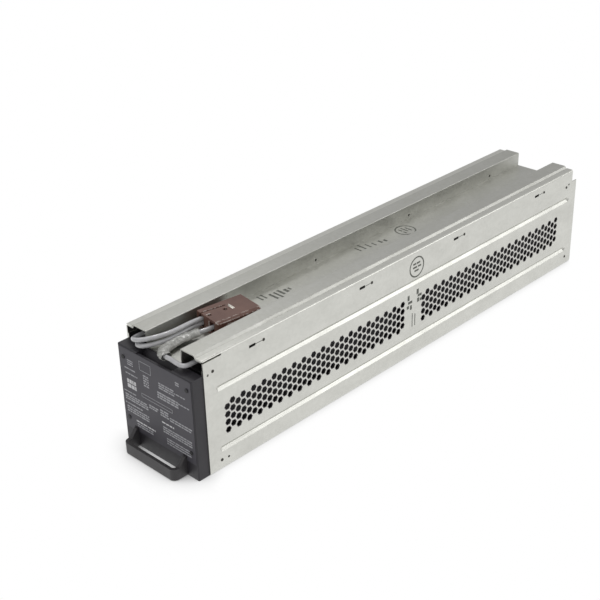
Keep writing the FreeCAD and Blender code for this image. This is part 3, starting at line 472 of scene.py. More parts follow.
@dataclass(frozen=True)
class Finish:
    """A plain surface whose gloss changes slowly. Richer finishes build on it.

    Sizes are in millimetres. The colour drifts towards the second one in patches, by the share given as drift.
    Swing is how far the roughness goes below and above its value. Relief is a pattern's height and strength.
    """

    name: str
    colour: str
    roughness: float
    metallic: float = 0.0
    second: str = "#808080"
    drift: float = 0.0
    patch: float = 6.0
    swing: tuple[float, float] = (0.08, 0.08)
    relief: tuple[float, float] = (0.0, 0.0)

    def build(self) -> Material:
        """Make the material.

        Returns:
            The material, which is made only once.
        """
        known = bpy.data.materials.get(self.name)
        if known:
            return known
        material = bpy.data.materials.new(self.name)
        tree = bare_tree(material)
        coords = add_node(tree, "ShaderNodeTexCoord").outputs["Object"]
        shader = add_node(tree, "ShaderNodeBsdfPrincipled", {
            "Base Color": srgb(self.colour), "Roughness": self.roughness, "Metallic": self.metallic})
        self.surface(Coat(tree, shader, coords, srgb(self.colour)))
        add_node(tree, "ShaderNodeOutputMaterial", {"Surface": shader})
        return material

    def surface(self, coat: Coat) -> None:
        """Add what makes this finish more than a flat colour: here, a gloss that changes slowly."""
        self.swung(coat, coat.noise(self.patch))

    def drifted(self, coat: Coat, noise: Node) -> None:
        """Let the colour drift towards the second one with a noise."""
        coat.blend(coat.spread(noise, 0.0, self.drift), self.second)

    def swung(self, coat: Coat, noise: Node) -> None:
        """Let the gloss swing with a noise."""
        coat.gloss(noise, self.roughness - self.swing[0], self.roughness + self.swing[1])


@dataclass(frozen=True)
class GalvanisedSheet(Finish):
    """Zinc-coated cold-rolled sheet: satin grey, with faint rolling lines along its length and dull clouds."""

    drift: float = 0.85
    patch: float = 17.0
    swing: tuple[float, float] = (0.07, 0.09)
    relief: tuple[float, float] = (0.012, 0.35)
    rolling: float = 0.9
    spangle: float = 3.5
    spangle_share: float = 0.2
    cloud_stretch: float = 2.2
    rolling_stretch: float = 60.0

    def surface(self, coat: Coat) -> None:
        """Clouded colour, a gloss that varies along the rolling lines and a very shallow relief.

        Args:
            coat: the material in the making.
        """
        clouds = coat.noise(self.patch, detail=4.0, stretch=(1.0, self.cloud_stretch, 1.0))
        # The real lines are under 0.1 mm apart; they are drawn coarser, so that they show.
        lines = coat.noise(self.rolling, detail=2.0, stretch=(1.0, self.rolling_stretch, 1.0))
        crystals = coat.pattern("ShaderNodeTexVoronoi", self.spangle).outputs["Color"]
        grey = add_node(coat.tree, "ShaderNodeSeparateXYZ", {"Vector": crystals})
        # Sockets 2 and 3 are the Mix node's two plain values.
        self.drifted(coat, add_node(coat.tree, "ShaderNodeMix", {0: self.spangle_share, 2: clouds, 3: grey}))
        both = add_node(coat.tree, "ShaderNodeMath", {0: lines, 1: clouds}, operation="ADD")
        self.swung(coat, add_node(coat.tree, "ShaderNodeMath", {0: both, 1: 0.5}, operation="MULTIPLY"))
        coat.emboss(lines, *self.relief)


@dataclass(frozen=True)
class MouldedPlastic(Finish):
    """Injection-moulded plastic with a fine spark-eroded grain that dulls its gloss."""

    drift: float = 0.12
    patch: float = 18.0
    swing: tuple[float, float] = (0.05, 0.06)
    relief: tuple[float, float] = (0.02, 0.6)
    grain: float = 0.55

    def surface(self, coat: Coat) -> None:
        """Fine grain, slow changes of gloss and a little pale wear.

        Args:
            coat: the material in the making.
        """
        slow = coat.noise(self.patch)
        self.drifted(coat, slow)
        self.swung(coat, slow)
        coat.emboss(coat.noise(self.grain, detail=2.0), *self.relief)


@dataclass(frozen=True)
class WornGlintPlastic(MouldedPlastic):
    """Moulded plastic whose outer edges that look to the right turn pale in patches: partly edge wear, partly a
    painted highlight.

    An edge is where a normal rounded over the pale band's width leaves the face's own, and a side where it
    looks to the right: each pair says at which cosine the pale band starts and at which it is whole.
    """

    # Near white: edge wear together with a painted highlight.
    wear_and_glint_colour: str = "#F0E8E1"
    wear_and_glint_width: float = 1.8
    wear_and_glint_samples: int = 6
    edge: tuple[float, float] = (0.99, 0.9)
    side: tuple[float, float] = (0.12, 0.35)
    wear_and_glint_patch: float = 4.5
    wear_and_glint_share: tuple[float, float] = (-1.4, 2.4)

    def surface(self, coat: Coat) -> None:
        """The moulded grain, with pale patches of wear and painted highlight on the edges that look to the
        right.

        Args:
            coat: the material in the making.
        """
        super().surface(coat)
        tree = coat.tree
        rounded = add_node(tree, "ShaderNodeBevel", {"Radius": self.wear_and_glint_width * MM}, samples=self.wear_and_glint_samples)
        flat = add_node(tree, "ShaderNodeNewGeometry").outputs["Normal"]
        turned = add_node(tree, "ShaderNodeVectorMath", {0: rounded, 1: flat}, operation="DOT_PRODUCT")
        across = add_node(tree, "ShaderNodeSeparateXYZ", {"Vector": rounded})
        worn = coat.spread(coat.noise(self.wear_and_glint_patch, detail=2.0), *self.wear_and_glint_share)
        # Painted highlight: only edges whose rounded normal looks to the right, where the light falls, keep the
        # pale share.
        for value, (start, whole) in ((turned.outputs["Value"], self.edge), (across.outputs["X"], self.side)):
            share = add_node(tree, "ShaderNodeMapRange", {"Value": value, "From Min": start, "From Max": whole})
            worn = add_node(tree, "ShaderNodeMath", {0: share, 1: worn}, operation="MULTIPLY")
        worn.use_clamp = True
        coat.blend(worn, self.wear_and_glint_colour)


@dataclass(frozen=True)
class PrintedFilm(Finish):
    """Screen-printed polyester film: flat ink with a barely uneven gloss."""

    drift: float = 0.5
    patch: float = 14.0
    relief: tuple[float, float] = (0.15, 0.25)

    def surface(self, coat: Coat) -> None:
        """Slow waves where the film lies on the cap.

        Args:
            coat: the material in the making.
        """
        slow = coat.noise(self.patch)
        self.drifted(coat, slow)
        coat.emboss(slow, *self.relief)


@dataclass(frozen=True)
class WireJacket(Finish):
    """Extruded PVC: smooth, slightly waxy, with small smudges from handling."""

    drift: float = 0.55
    patch: float = 7.0
    relief: tuple[float, float] = (0.04, 0.4)
    skin: float = 1.4

    def surface(self, coat: Coat) -> None:
        """Smudged colour and a soft, slightly uneven skin under a clear gloss.

        Args:
            coat: the material in the making.
        """
        coat.varnish(weight=1.0, roughness=0.08)
        self.drifted(coat, coat.noise(self.patch, detail=4.0))
        coat.emboss(coat.noise(self.skin, detail=2.0), *self.relief)


@dataclass(frozen=True)
class ClearSleeve(Finish):
    """Thin clear tubing over a grey lead: milky, glossy and creased, with painted shade that follows its folds.
    """

    drift: float = 0.8
    patch: float = 3.2
    relief: tuple[float, float] = (0.5, 0.7)

    def surface(self, coat: Coat) -> None:
        """Milky patches with painted shade that follows the folds, sharp small creases and a clear gloss on
        top.

        Args:
            coat: the material in the making.
        """
        folds = coat.noise(self.patch)
        # Painted shade: the colour darkens with the same noise that shapes the folds.
        self.drifted(coat, folds)
        coat.varnish(weight=0.6, roughness=0.12)
        coat.emboss(folds, *self.relief)


@dataclass(frozen=True)
class CellularFoam(Finish):
    """Closed-cell foam: dull, with cells about half a millimetre across."""

    patch: float = 0.6
    relief: tuple[float, float] = (0.25, 1.0)

    def surface(self, coat: Coat) -> None:
        """Round cells as small pits."""
        coat.emboss(coat.pattern("ShaderNodeTexVoronoi", self.patch), *self.relief)


@dataclass(frozen=True)
class StampingInk(Finish):
    """Thin stamping ink on bare metal, worn through in small patches."""

    drift: float = 0.9
    patch: float = 1.6

    def surface(self, coat: Coat) -> None:
        """Patches where the metal's grey comes through."""
        self.drifted(coat, coat.noise(self.patch))


# Galvanised and skin-passed: satin, with soft clouds of zinc.
STEEL = GalvanisedSheet("galvanised_sheet", "#D3D3CD", 0.34, 1.0, "#C9C9C3")
# Galvanised sheet for the lid: duller than the tray's, and darker and greyer as painted shade, since its panel
# lies between the rails.
SHADED_LID_STEEL = GalvanisedSheet("galvanised_sheet_dulled_and_shaded", "#BFBFBA", 0.42, 1.0, "#B4B4AE")
# Injection-moulded ABS: charcoal, with a fine grain that takes the shine off.
CAP = MouldedPlastic("abs_cap_charcoal", "#28262B", 0.5, second="#3D3B41")
# Printed polyester film: an even dark grey that waves a little where it is pressed on.
FILM = PrintedFilm("polyester_label_grey", "#413F46", 0.5, second="#49474E")
# Screen-printed ink in a middle grey, for the small print.
INK = PrintedFilm("label_ink_grey", "#B4B4B8", 0.5, second="#A0A0A4")
# The same ink nearly white, for the rows that stand out.
BRIGHT_INK = PrintedFilm("label_ink_pale", "#E4E4E6", 0.5, second="#D0D0D2")
# Moulded glass-filled nylon: a coarser grain and grey wear along the grip.
NYLON = MouldedPlastic("glass_filled_nylon", "#353335", 0.46, second="#4C4A4A", drift=0.35, grain=0.8)
# Moulded nylon: dull black heads that look like dots on the cap.
PIN = MouldedPlastic("nylon_push_pin", "#0F0E11", 0.55, second="#1C1B1E")
# Zinc-plated and passivated steel: small dark grey heads with a soft shine.
ZINC = GalvanisedSheet("zinc_plated_rivet", "#66645F", 0.34, 1.0, "#4C4A46", patch=2.0, rolling=0.4)
# Painted shade of a rivet's hollow bore round its broken mandrel: a dark dot in the middle of a rivet's head.
SHADED_BORE = Finish("rivet_bore", "#26221F", 0.7)
# Rim of a punched slot and its cut line: partly dark oil and zinc burr, partly painted shade that makes the
# slot and the cut look larger.
BURR_AND_SHADE = Finish("punched_burr_and_shade", "#1F1D1B", 0.6)
# Rim round a pierced vent: partly a dulled zinc burr, partly violet-grey painted shade at the vent's edge.
VENT_BURR_AND_SHADE = Finish("pierced_rim", "#6A6269", 0.6)
# Moulded polycarbonate: warm brown and satin, with pale edges on its right side, partly wear and partly painted
# highlight.
HOUSING = WornGlintPlastic("polycarbonate_brown", "#64443A", 0.4, second="#7C5C50", drift=0.6)
# Cold-rolled spring strip, near white as a painted highlight: the brightest spot in the connector's top.
SPRING = GalvanisedSheet("spring_strip", "#F2EFE8", 0.4, 1.0, "#B7AFA4", patch=3.0, rolling=0.3)
# Silver-plated copper: a white, clean shine inside the housing.
SILVER = GalvanisedSheet("silver_plate", "#D6D4CF", 0.22, 1.0, "#B9B5AD", patch=4.0, rolling=0.3)
# Extruded PVC: pale grey with a long sharp highlight.
JACKET = WireJacket("pvc_jacket_grey", "#CECED0", 0.2, second="#ADADAF")
# Drawn clear tubing: milky, with painted shade along the folds where it is crushed.
SLEEVE = ClearSleeve("clear_sleeve", "#C6C6C1", 0.2, second="#7A7A75")
# Extruded PVC in red, seen only through gaps: a dull warm spot.
RED_JACKET = WireJacket("pvc_jacket_red", "#A02A22", 0.4, second="#7E2620")
# Moulded receptacle boots: red, a little paler where they are gripped.
RED_BOOT = MouldedPlastic("receptacle_boot", "#A23A2C", 0.5, second="#B85040")
# Moulded ABS battery cases: nearly black behind the vents.
CASE = MouldedPlastic("abs_battery_case", "#1E1E21", 0.55, second="#303034")
# Tinned brass tabs: pale and satin.
TIN = GalvanisedSheet("tinned_tab", "#BDBBB4", 0.3, 1.0, "#A29F96", patch=3.0, rolling=0.3)
# Foamed polyethylene: black, with no shine.
FOAM = CellularFoam("closed_cell_foam", "#242426", 0.9)
# Calendered pressboard: pale straw, matt.
PAPER = PrintedFilm("pressboard_sheet", "#C8C4B4", 0.7, second="#B9B4A2")
# Rubber-stamped ink: dark grey, thin, with the metal coming through.
STAMP = StampingInk("stamping_ink", "#454642", 0.65, second="#85877F")


# ---- the case


@dataclass
class SteelCase:
    """The folded tray, lid and rear plate, with their rivets and the rims of their slots and vents.

    Rims and cut lines are flat and lie just off the wall. Sizes are in millimetres; rivet_behind is the way
    from a small slot's middle back to its rivet, and a rivet's corners lie closer together than rivet_span.
    """

    sheets: tuple[tuple[str, Finish], ...] = (("tray", STEEL), ("lid", SHADED_LID_STEEL), ("rear_plate", STEEL))
    rivet_groups: tuple[str, ...] = ("lid_rivets", "front_rivets", "rear_rivets")
    rivet_span: float = 12.0
    head_radius: float = 1.7
    head_height: float = 0.5
    bore_radius: float = 1.05
    rim_lift: float = 0.02
    rivet_behind: float = 14.4
    slot_half: float = 3.5
    slot_tall_half: float = 0.9
    slot_rim: float = 0.5
    cut_half: float = 0.3
    vent_fields: tuple[float, float] = (38.3, 318.9)
    vent_columns: int = 38
    vent_rows: int = 4
    vent_pitch: float = 6.67
    vent_row_pitch: float = 8.28
    vent_lowest: float = 38.4
    vent_across: float = 6.4
    vent_rim: float = 0.55

    def build(self) -> None:
        """Dress the sheets, dome the rivets and lay the rims."""
        for name, finish in self.sheets:
            dress(name, finish)
        for name in self.rivet_groups:
            self.rivets(name)
        self.slot_rims()
        self.vent_rims()

    def slot_rims(self) -> None:
        """Darken the punched rim of each small slot and the cut line that runs from it to its rivet, with burr
        and painted shade.
        """
        tall, rim = self.slot_tall_half, self.slot_rim
        near, far = -self.rivet_behind - self.slot_half, -self.rivet_behind + self.slot_half
        strips = ((near - rim, near, -tall, tall), (far, far + rim, -tall, tall),
                  (near - rim, far + rim, tall, tall + rim), (near - rim, far + rim, -tall - rim, -tall),
                  (far + rim, -self.head_radius, -self.cut_half, self.cut_half))
        work = bmesh.new()
        for centre, outward in self.heads("lid_rivets"):
            x = outward * (Place.wall + self.rim_lift) * MM
            for front, back, low, high in strips:
                corners = ((front, low), (back, low), (back, high), (front, high))[::outward]
                work.faces.new([work.verts.new((x, centre.y + y * MM, centre.z + z * MM)) for y, z in corners])
        seat(dress(mesh_piece("slot_rims", work), BURR_AND_SHADE), Slot.STEEL)

    def vent_rims(self) -> None:
        """Lay a flat rim round each of the six-sided vents in the right-hand wall: partly a dull sheared burr,
        partly painted shade.
        """
        spots = []
        for first in self.vent_fields:
            for column in range(self.vent_columns):
                for row in range(self.vent_rows):
                    up = self.vent_lowest + (row + column % 2 / 2) * self.vent_row_pitch
                    spots.append(Place.at(Place.wall + self.rim_lift, first + column * self.vent_pitch, up))
        carrier = grown("vent_spots", spots, rim_tree(), {
            "Opening": self.vent_across / 2 * MM, "Rim": self.vent_rim * MM, "Burr and shade": VENT_BURR_AND_SHADE.build()})
        seat(baked(carrier, "vent_rims"), Slot.STEEL)

    def rivets(self, group: str) -> None:
        """Replace one group of plain rivets by domed blind rivets.

        Args:
            group: the node that holds the group's rivets.
        """
        spots = [end - Vector((outward * self.head_height * MM, 0, 0)) for end, outward in self.heads(group)]
        carrier = grown(group + "_spots", spots, rivet_tree(), {
            "Head radius": self.head_radius * MM, "Head height": self.head_height * MM,
            "Bore radius": self.bore_radius * MM, "Head": ZINC.build(), "Bore": SHADED_BORE.build()})
        seat(baked(carrier, group + "_domed"), Slot.RIVET, group)

    def heads(self, group: str) -> list[tuple[Vector, int]]:
        """Find the outer ends of a group's rivets.

        Args:
            group: the node that holds the group's rivets.

        Returns:
            The middle of each outer end, with 1 where it looks to the right and -1 where it looks to the left.
        """
        rivets: list[list[Vector]] = []
        for vertex in bpy.data.objects[group].data.vertices:
            own = next((r for r in rivets if (r[0] - vertex.co).length < self.rivet_span * MM), None)
            if own is None:
                rivets.append([vertex.co])
            else:
                own.append(vertex.co)
        found = []
        for corners in rivets:
            low, high = (Vector([pick(axis) for axis in zip(*corners)]) for pick in (min, max))
            middle = (low + high) / 2
            outward = 1 if middle.x > 0 else -1
            middle.x = high.x if outward > 0 else low.x
            found.append((middle, outward))
        return found


def rivet_tree() -> Tree:
    """Make the tree that sets a domed head with a dark bore on each point.

    Returns:
        The tree, which is made only once.
    """
    known = bpy.data.node_groups.get("domed_rivets")
    if known:
        return known
    tree, given = new_tree("domed_rivets", {
        "Head radius": "Float", "Head height": "Float", "Bore radius": "Float", "Head": "Material",
        "Bore": "Material"})
    high, wide = given.outputs["Head height"], given.outputs["Head radius"]
    across = (0, math.pi / 2, 0)
    size = add_node(tree, "ShaderNodeCombineXYZ", {"X": high, "Y": wide, "Z": wide})
    dome = add_node(tree, "GeometryNodeMeshUVSphere", {
        "Segments": DOME_SEGMENTS, "Rings": DOME_RINGS, "Radius": 1.0})
    dome = add_node(tree, "GeometryNodeTransform", {"Geometry": dome, "Rotation": across})
    dome = add_node(tree, "GeometryNodeTransform", {"Geometry": dome, "Scale": size})
    dome = add_node(tree, "GeometryNodeSetShadeSmooth", {"Geometry": dome})
    length = add_node(tree, "ShaderNodeMath", {0: high, 1: 2.0}, operation="MULTIPLY")
    bore = add_node(tree, "GeometryNodeMeshCylinder", {
        "Vertices": BORE_CORNERS, "Radius": given.outputs["Bore radius"], "Depth": length})
    bore = add_node(tree, "GeometryNodeTransform", {"Geometry": bore, "Rotation": across})
    bore = add_node(tree, "GeometryNodeStoreNamedAttribute", {
        "Geometry": bore, "Name": "bore", "Value": True}, data_type="BOOLEAN", domain="FACE")
    rivet = add_node(tree, "GeometryNodeJoinGeometry", {"Geometry": bore})
    tree.links.new(dome.outputs[0], rivet.inputs[0])
    dressed = made_real(tree, scattered(tree, given, rivet), given.outputs["Head"])
    inside = add_node(tree, "GeometryNodeInputNamedAttribute", {"Name": "bore"}, data_type="BOOLEAN")
    dressed = add_node(tree, "GeometryNodeSetMaterial", {
        "Geometry": dressed, "Selection": inside, "Material": given.outputs["Bore"]})
    add_node(tree, "NodeGroupOutput", {"Geometry": dressed})
    return tree


def rim_tree() -> Tree:
    """Make the tree that lays a flat six-sided ring round each point.

    Returns:
        The tree, whose rings face out of the right-hand wall.
    """
    tree, given = new_tree("pierced_rims", {"Opening": "Float", "Rim": "Float", "Burr and shade": "Material"})
    opening = given.outputs["Opening"]
    reach = add_node(tree, "ShaderNodeMath", {0: opening, 1: given.outputs["Rim"]}, operation="ADD")
    share = add_node(tree, "ShaderNodeMath", {0: opening, 1: reach}, operation="DIVIDE")
    plate = add_node(tree, "GeometryNodeMeshCircle", {"Vertices": 6, "Radius": reach}, fill_type="NGON")
    inset = add_node(tree, "GeometryNodeExtrudeMesh", {"Mesh": plate, "Offset Scale": 0.0}, mode="FACES")
    top = inset.outputs["Top"]
    ring = add_node(tree, "GeometryNodeScaleElements", {"Geometry": inset, "Selection": top, "Scale": share})
    ring = add_node(tree, "GeometryNodeDeleteGeometry", {"Geometry": ring, "Selection": top}, domain="FACE")
    ring = add_node(tree, "GeometryNodeTransform", {
        "Geometry": ring, "Rotation": (math.pi / 2, 0, math.pi / 2)})
    dressed = made_real(tree, scattered(tree, given, ring), given.outputs["Burr and shade"])
    add_node(tree, "NodeGroupOutput", {"Geometry": dressed})
    return tree


@dataclass(frozen=True)
class Bar:
    """One bar of ink: its middle and its half sizes, on the sheet that carries it."""

    along: float
    across: float
    half_along: float
    half_across: float


@dataclass(frozen=True)
class Ring:
    """One ring of ink: its middle, its outer radius and the width of its line."""

    along: float
    across: float
    radius: float
    line: float


@dataclass
class StampedMarks:
    """Ink stamped on the bare steel: plain bars and rings, on the lid's panel and on the side wall."""

    gap: float = 0.03
    ring_steps: int = 40
    panel_bars: tuple[Bar, ...] = tuple(Bar(*sizes) for sizes in (
        (146, -13, 1.0, 5.0), (151, -13, 1.0, 5.0), (158, -6, 1.5, 6.6), (163.5, -5, 1.2, 7.0),
        (169, -7, 1.5, 5.6), (175, -5.5, 1.8, 3.6), (180, -6, 1.2, 2.6), (291, -14, 1.0, 5.0),
        (298, -15, 1.1, 6.5), (305, -12, 1.0, 4.6), (312, -10, 0.9, 3.6), (321, -9, 1.5, 3.2),
        (327, -7, 1.5, 2.6), (356.5, -11, 1.0, 3.0), (356.5, -4, 1.0, 2.4), (361, -9, 1.0, 5.4),
        (365.5, -10, 1.0, 2.2), (365.5, -4.6, 1.0, 2.6)))
    panel_ring: Ring = Ring(361, -7.5, 12.0, 1.7)
    wall_bars: tuple[Bar, ...] = tuple(Bar(*sizes) for sizes in (
        (303.4, 107.2, 2.4, 1.0), (309.6, 107.2, 2.8, 1.0), (304.2, 103.2, 3.4, 1.0),
        (311.4, 103.2, 2.4, 1.0), (306.6, 99.2, 3.4, 1.0), (294.5, 71, 1.6, 3.0),
        (297.2, 65.2, 3.4, 1.5), (293.6, 60.4, 1.8, 1.8), (298.6, 58.8, 1.5, 2.6),
        (309.2, 73.6, 1.7, 3.0), (312.6, 68.6, 3.2, 1.5), (310.2, 63.6, 1.6, 2.4),
        (314.6, 62.8, 1.6, 1.6), (301, 43, 0.6, 8.0), (305.4, 42, 0.6, 7.0)))
    wall_ring: Ring = Ring(307, 103.2, 11.8, 1.6)

    def build(self) -> None:
        """Stamp the lid's panel and the right-hand wall."""
        for name, bars, ring, onto in (("panel_marks", self.panel_bars, self.panel_ring, self.on_panel),
                                       ("wall_marks", self.wall_bars, self.wall_ring, self.on_wall)):
            work = bmesh.new()
            for corners in [self.bar_corners(bar) for bar in bars] + self.ring_corners(ring):
                self.fill(work, [onto(*corner) for corner in corners])
            seat(dress(mesh_piece(name, work), STAMP), Slot.STEEL)

    def on_panel(self, along: float, across: float) -> Vector:
        """A point just above the lid's middle panel."""
        return Place.at(across, along, Place.panel + self.gap)

    def on_wall(self, along: float, up: float) -> Vector:
        """A point just outside the right-hand wall."""
        return Place.at(Place.wall + self.gap, along, up)

    def bar_corners(self, bar: Bar) -> list[tuple[float, float]]:
        """The four corners of a bar."""
        return [(bar.along + a * bar.half_along, bar.across + c * bar.half_across)
                for a, c in ((-1, -1), (1, -1), (1, 1), (-1, 1))]

    def ring_corners(self, ring: Ring) -> list[list[tuple[float, float]]]:
        """Cut a ring into short pieces.

        Args:
            ring: the ring.

        Returns:
            The four corners of each piece.
        """
        outer, inner = ring.radius, ring.radius - ring.line
        pieces = []
        for step in range(self.ring_steps):
            first, last = (2 * math.pi * (step + extra) / self.ring_steps for extra in (0, 1))
            turned = ((outer, first), (outer, last), (inner, last), (inner, first))
            pieces.append([(ring.along + r * math.cos(t), ring.across + r * math.sin(t)) for r, t in turned])
        return pieces

    def fill(self, work: Work, corners: list[Vector]) -> None:
        """Add one flat face that looks up, or out from the wall.

        Args:
            work: the mesh that gets it.
            corners: its corners, in either turn.
        """
        face = work.faces.new([work.verts.new(corner) for corner in corners])
        face.normal_update()
        if face.normal.x + face.normal.z < 0:
            face.normal_flip()


# ---- the batteries and what is round them


@dataclass
class BatteryRow:
    """Sealed batteries, their tabs, jumpers and foam, which show only through the vents and rail ends."""

    nodes: tuple[str, ...]
    dressing: tuple[tuple[Finish, tuple[str, ...]], ...] = (
        (RED_BOOT, ("jumper_receptacles", "lead_receptacles")), (PAPER, ("floor_pad",)),
        (FOAM, ("top_foam", "front_foam", "rear_foam", "side_foam")),
        (JACKET, ("left_run_upper", "left_run_lower", "return_run")))

    def build(self) -> None:
        """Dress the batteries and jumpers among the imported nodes, then the pieces that are named here."""
        for name in self.nodes:
            if name.startswith("battery_"):
                dress(name, TIN if name.endswith("tabs") else CASE)
            elif name.startswith("jumper_"):
                dress(name, RED_JACKET)
        for finish, names in self.dressing:
            for name in names:
                dress(name, finish)


# ---- the front


Bounds = tuple[float, float, float, float]


@dataclass(frozen=True)
class Words:
    """A field of unreadable small print: rows of short bars.

    It has its sides and its rows' spacing and height in millimetres, a seed, and whether its ink is pale.
    """

    left: float
    right: float
    low: float
    high: float
    spacing: float = 2.4
    tall: float = 1.3
    seed: int = 1
    bright: bool = False


@dataclass
class FrontCap:
    """The moulded cap with its printed label and push pins."""

    rounding: float = 0.45
    pin_rounding: float = 0.3
    print_gap: float = 0.03
    word_length: tuple[float, float] = (1.6, 6.5)
    word_space: tuple[float, float] = (0.5, 1.0)
    least_word: float = 1.0
    row_slack: float = 0.01
    frame_line: float = 0.5
    frames: tuple[Bounds, ...] = ((-21.4, -5.0, 89.4, 99.4), (-21.8, 21.8, 60.6, 64.6))
    fields: tuple[Words, ...] = (
        Words(-44, -27, 82.4, 84.6, seed=2), Words(-43, -26, 77.0, 79.2, seed=3),
        Words(-42, -29, 62.6, 72.4, 5.2, 4.2, 4, True), Words(-48, -30, 56.8, 58.2, 2, 1.2, 5),
        Words(-47, -14, 47.8, 54.6, 2.4, 1.5, 6), Words(-12, 1, 51.5, 56.2, 2.4, 1.5, 7),
        Words(-48, -23, 43.4, 45.0, 2, 1.4, 8), Words(-46, -14, 33.6, 41.4, 2.5, 1.5, 9),
        Words(-34, -6, 27.8, 29.4, 2, 1.5, 10, True), Words(-33, -10, 22.0, 26.4, 2.4, 1.4, 11),
        Words(-17, -9.5, 73.0, 86.0, 2.6, 1.6, 12), Words(5, 27, 80.6, 87.0, 2.4, 1.5, 13),
        Words(26, 41, 83.4, 84.8, 2, 1.2, 14), Words(2, 31, 68.4, 76.6, 2.6, 1.7, 15),
        Words(30, 47.5, 74.4, 75.8, 2, 1.2, 16), Words(4, 16, 50.6, 58.0, 2.6, 1.6, 17),
        Words(17, 47.5, 48.4, 54.4, 2.6, 1.4, 18), Words(5, 22, 43.8, 45.4, 2, 1.5, 19, True),
        Words(6, 46, 33.0, 40.4, 2.5, 1.4, 20), Words(10, 44, 21.6, 29.0, 2.6, 1.3, 21),
        Words(-39, -31, 88.0, 94.0, 2.2, 1.2, 22), Words(29, 34, 93.4, 97.6, 2.2, 1.4, 23))

    def build(self) -> None:
        """Make the cap, the label and its print, and the pins."""
        seat(dress(rounded_copy("cap_moulding", "front_cap", self.rounding), CAP), Slot.CAP, "front_cap")
        dress("label_plate", FILM)
        grey, pale = ([bar for words in self.fields if words.bright == bright for bar in self.rows(words)]
                      for bright in (False, True))
        grey += [line for frame in self.frames for line in self.outline(*frame)]
        seat(dress(self.printed("label_print_grey", grey), INK), Slot.LABEL)
        seat(dress(self.printed("label_print_pale", pale), BRIGHT_INK), Slot.LABEL)
        pins = rounded_copy("push_pins", "cap_pins", self.pin_rounding, segments=2)
        seat(dress(pins, PIN), Slot.PIN, "cap_pins")

    def rows(self, words: Words) -> list[Bounds]:
        """Fill a field with rows of bars of uneven length.

        Args:
            words: the field.

        Returns:
            The sides of each bar.
        """
        chance = random.Random(words.seed)
        bars = []
        top = words.high
        while top - words.tall >= words.low - self.row_slack:
            left = words.left
            while left < words.right - self.least_word:
                right = min(left + chance.uniform(*self.word_length), words.right)
                bars.append((left, right, top - words.tall, top))
                left = right + chance.uniform(*self.word_space)
            top -= words.spacing
        return bars

    def outline(self, left: float, right: float, low: float, high: float) -> tuple[Bounds, ...]:
        """Draw a printed frame.

        Args:
            left: its left side.
            right: its right side.
            low: its lower side.
            high: its upper side.

        Returns:
            The sides of its four lines.
        """
        line = self.frame_line
        return ((left, right, low, low + line), (left, right, high - line, high),
                (left, left + line, low, high), (right - line, right, low, high))

    def printed(self, name: str, bars: list[Bounds]) -> Piece:
        """Print flat bars just off the film.

        Args:
            name: the piece's name.
            bars: the sides of each bar.

        Returns:
            One mesh of all the bars, which face forward.
        """
        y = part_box("label_plate")[0].y - self.print_gap * MM
        ink = bmesh.new()
        for left, right, low, high in bars:
            corners = ((left, low), (right, low), (right, high), (left, high))
            ink.faces.new([ink.verts.new((x * MM, y, z * MM)) for x, z in corners])
        return mesh_piece(name, ink)


@dataclass
class PullHandle:
    """The strap handle and its screws."""

    rounding: float = 0.8

    def build(self) -> None:
        """Round the strap as it leaves its mould, and dress the screws."""
        strap = rounded_copy("strap_handle", "pull_handle", self.rounding)
        seat(dress(strap, NYLON), Slot.HANDLE, "pull_handle")
        dress("handle_screws", ZINC)


# ---- connector and leads


@dataclass
class Connector:
    """The brown two-pole connector.

    Turn is in degrees and sizes are in millimetres: its middle on the lid's panel, its length, how far its two
    wire bores lie beside its axis, how high that axis is, and how far a lead goes in and runs straight before.
    """

    turn: float = 8.0
    middle: tuple[float, float] = (1.0, 91.9)
    length: float = 50.0
    bore_x: float = 8.6
    axis: float = 8.2
    wire_in: float = 6.0
    lead_in: float = 14.0
    rounding: float = 0.5
    leaf_size: tuple[float, float] = (7.4, 3.2)
    leaf_along: float = 28.6
    leaf_up: float = 8.45
    leaf_crown: float = 0.2
    leaf_wall: float = 0.12
    leaf_steps: int = 8

    def build(self) -> list[Piece]:
        """Make the housing and dress what is in it.

        Returns:
            The pieces that lie on the leads.
        """
        housing = rounded_copy("connector_shell", "connector_housing", self.rounding)
        seat(dress(housing, HOUSING), Slot.CONNECTOR, "connector_housing")
        contacts = [dress(name, SILVER) for name in ("contact_left", "contact_right")]
        return [housing, self.leaf(), *contacts, dress("connector_spring", SPRING)]

    def leaf(self) -> Piece:
        """Make the crowned leaf of the spring that shows in the housing's top, bright with a painted highlight.

        Returns:
            The leaf.
        """
        work = bmesh.new()
        across, back = self.leaf_size
        rows = []
        for step in range(self.leaf_steps + 1):
            share = 2 * step / self.leaf_steps - 1
            up = self.leaf_up + self.leaf_crown * (1 - share * share)
            ends = [self.spot(share * across / 2, self.leaf_along + end * back / 2, up) for end in (-1, 1)]
            rows.append([work.verts.new(Place.at(x, y, Place.panel + z)) for x, y, z in ends])
        for (a, b), (c, d) in zip(rows, rows[1:]):
            work.faces.new((a, c, d, b))
        piece = baked(walled(mesh_piece("leaf_line", work), self.leaf_wall), "spring_leaf")
        return seat(dress(piece, SPRING), Slot.SPRING)

    def spot(self, x: float, along: float, up: float) -> Spot:
        """Find a point of the connector.

        Args:
            x: its place across the connector.
            along: its place behind the wire end.
            up: its height over the axis.

        Returns:
            Its place across, back from the cap's face and up from the lid's panel.
        """
        turn = math.radians(self.turn)
        y = along - self.length / 2
        return (self.middle[0] + x * math.cos(turn) + y * math.sin(turn),
                self.middle[1] - x * math.sin(turn) + y * math.cos(turn), self.axis + up)

    def wire_end(self, side: int, up: float) -> tuple[Spot, ...]:
        """The last two points of a lead, straight in the wire bore on that side, so far over the axis."""
        return tuple(self.spot(side * self.bore_x, along, up)
                     for along in (self.wire_in - self.lead_in, self.wire_in))


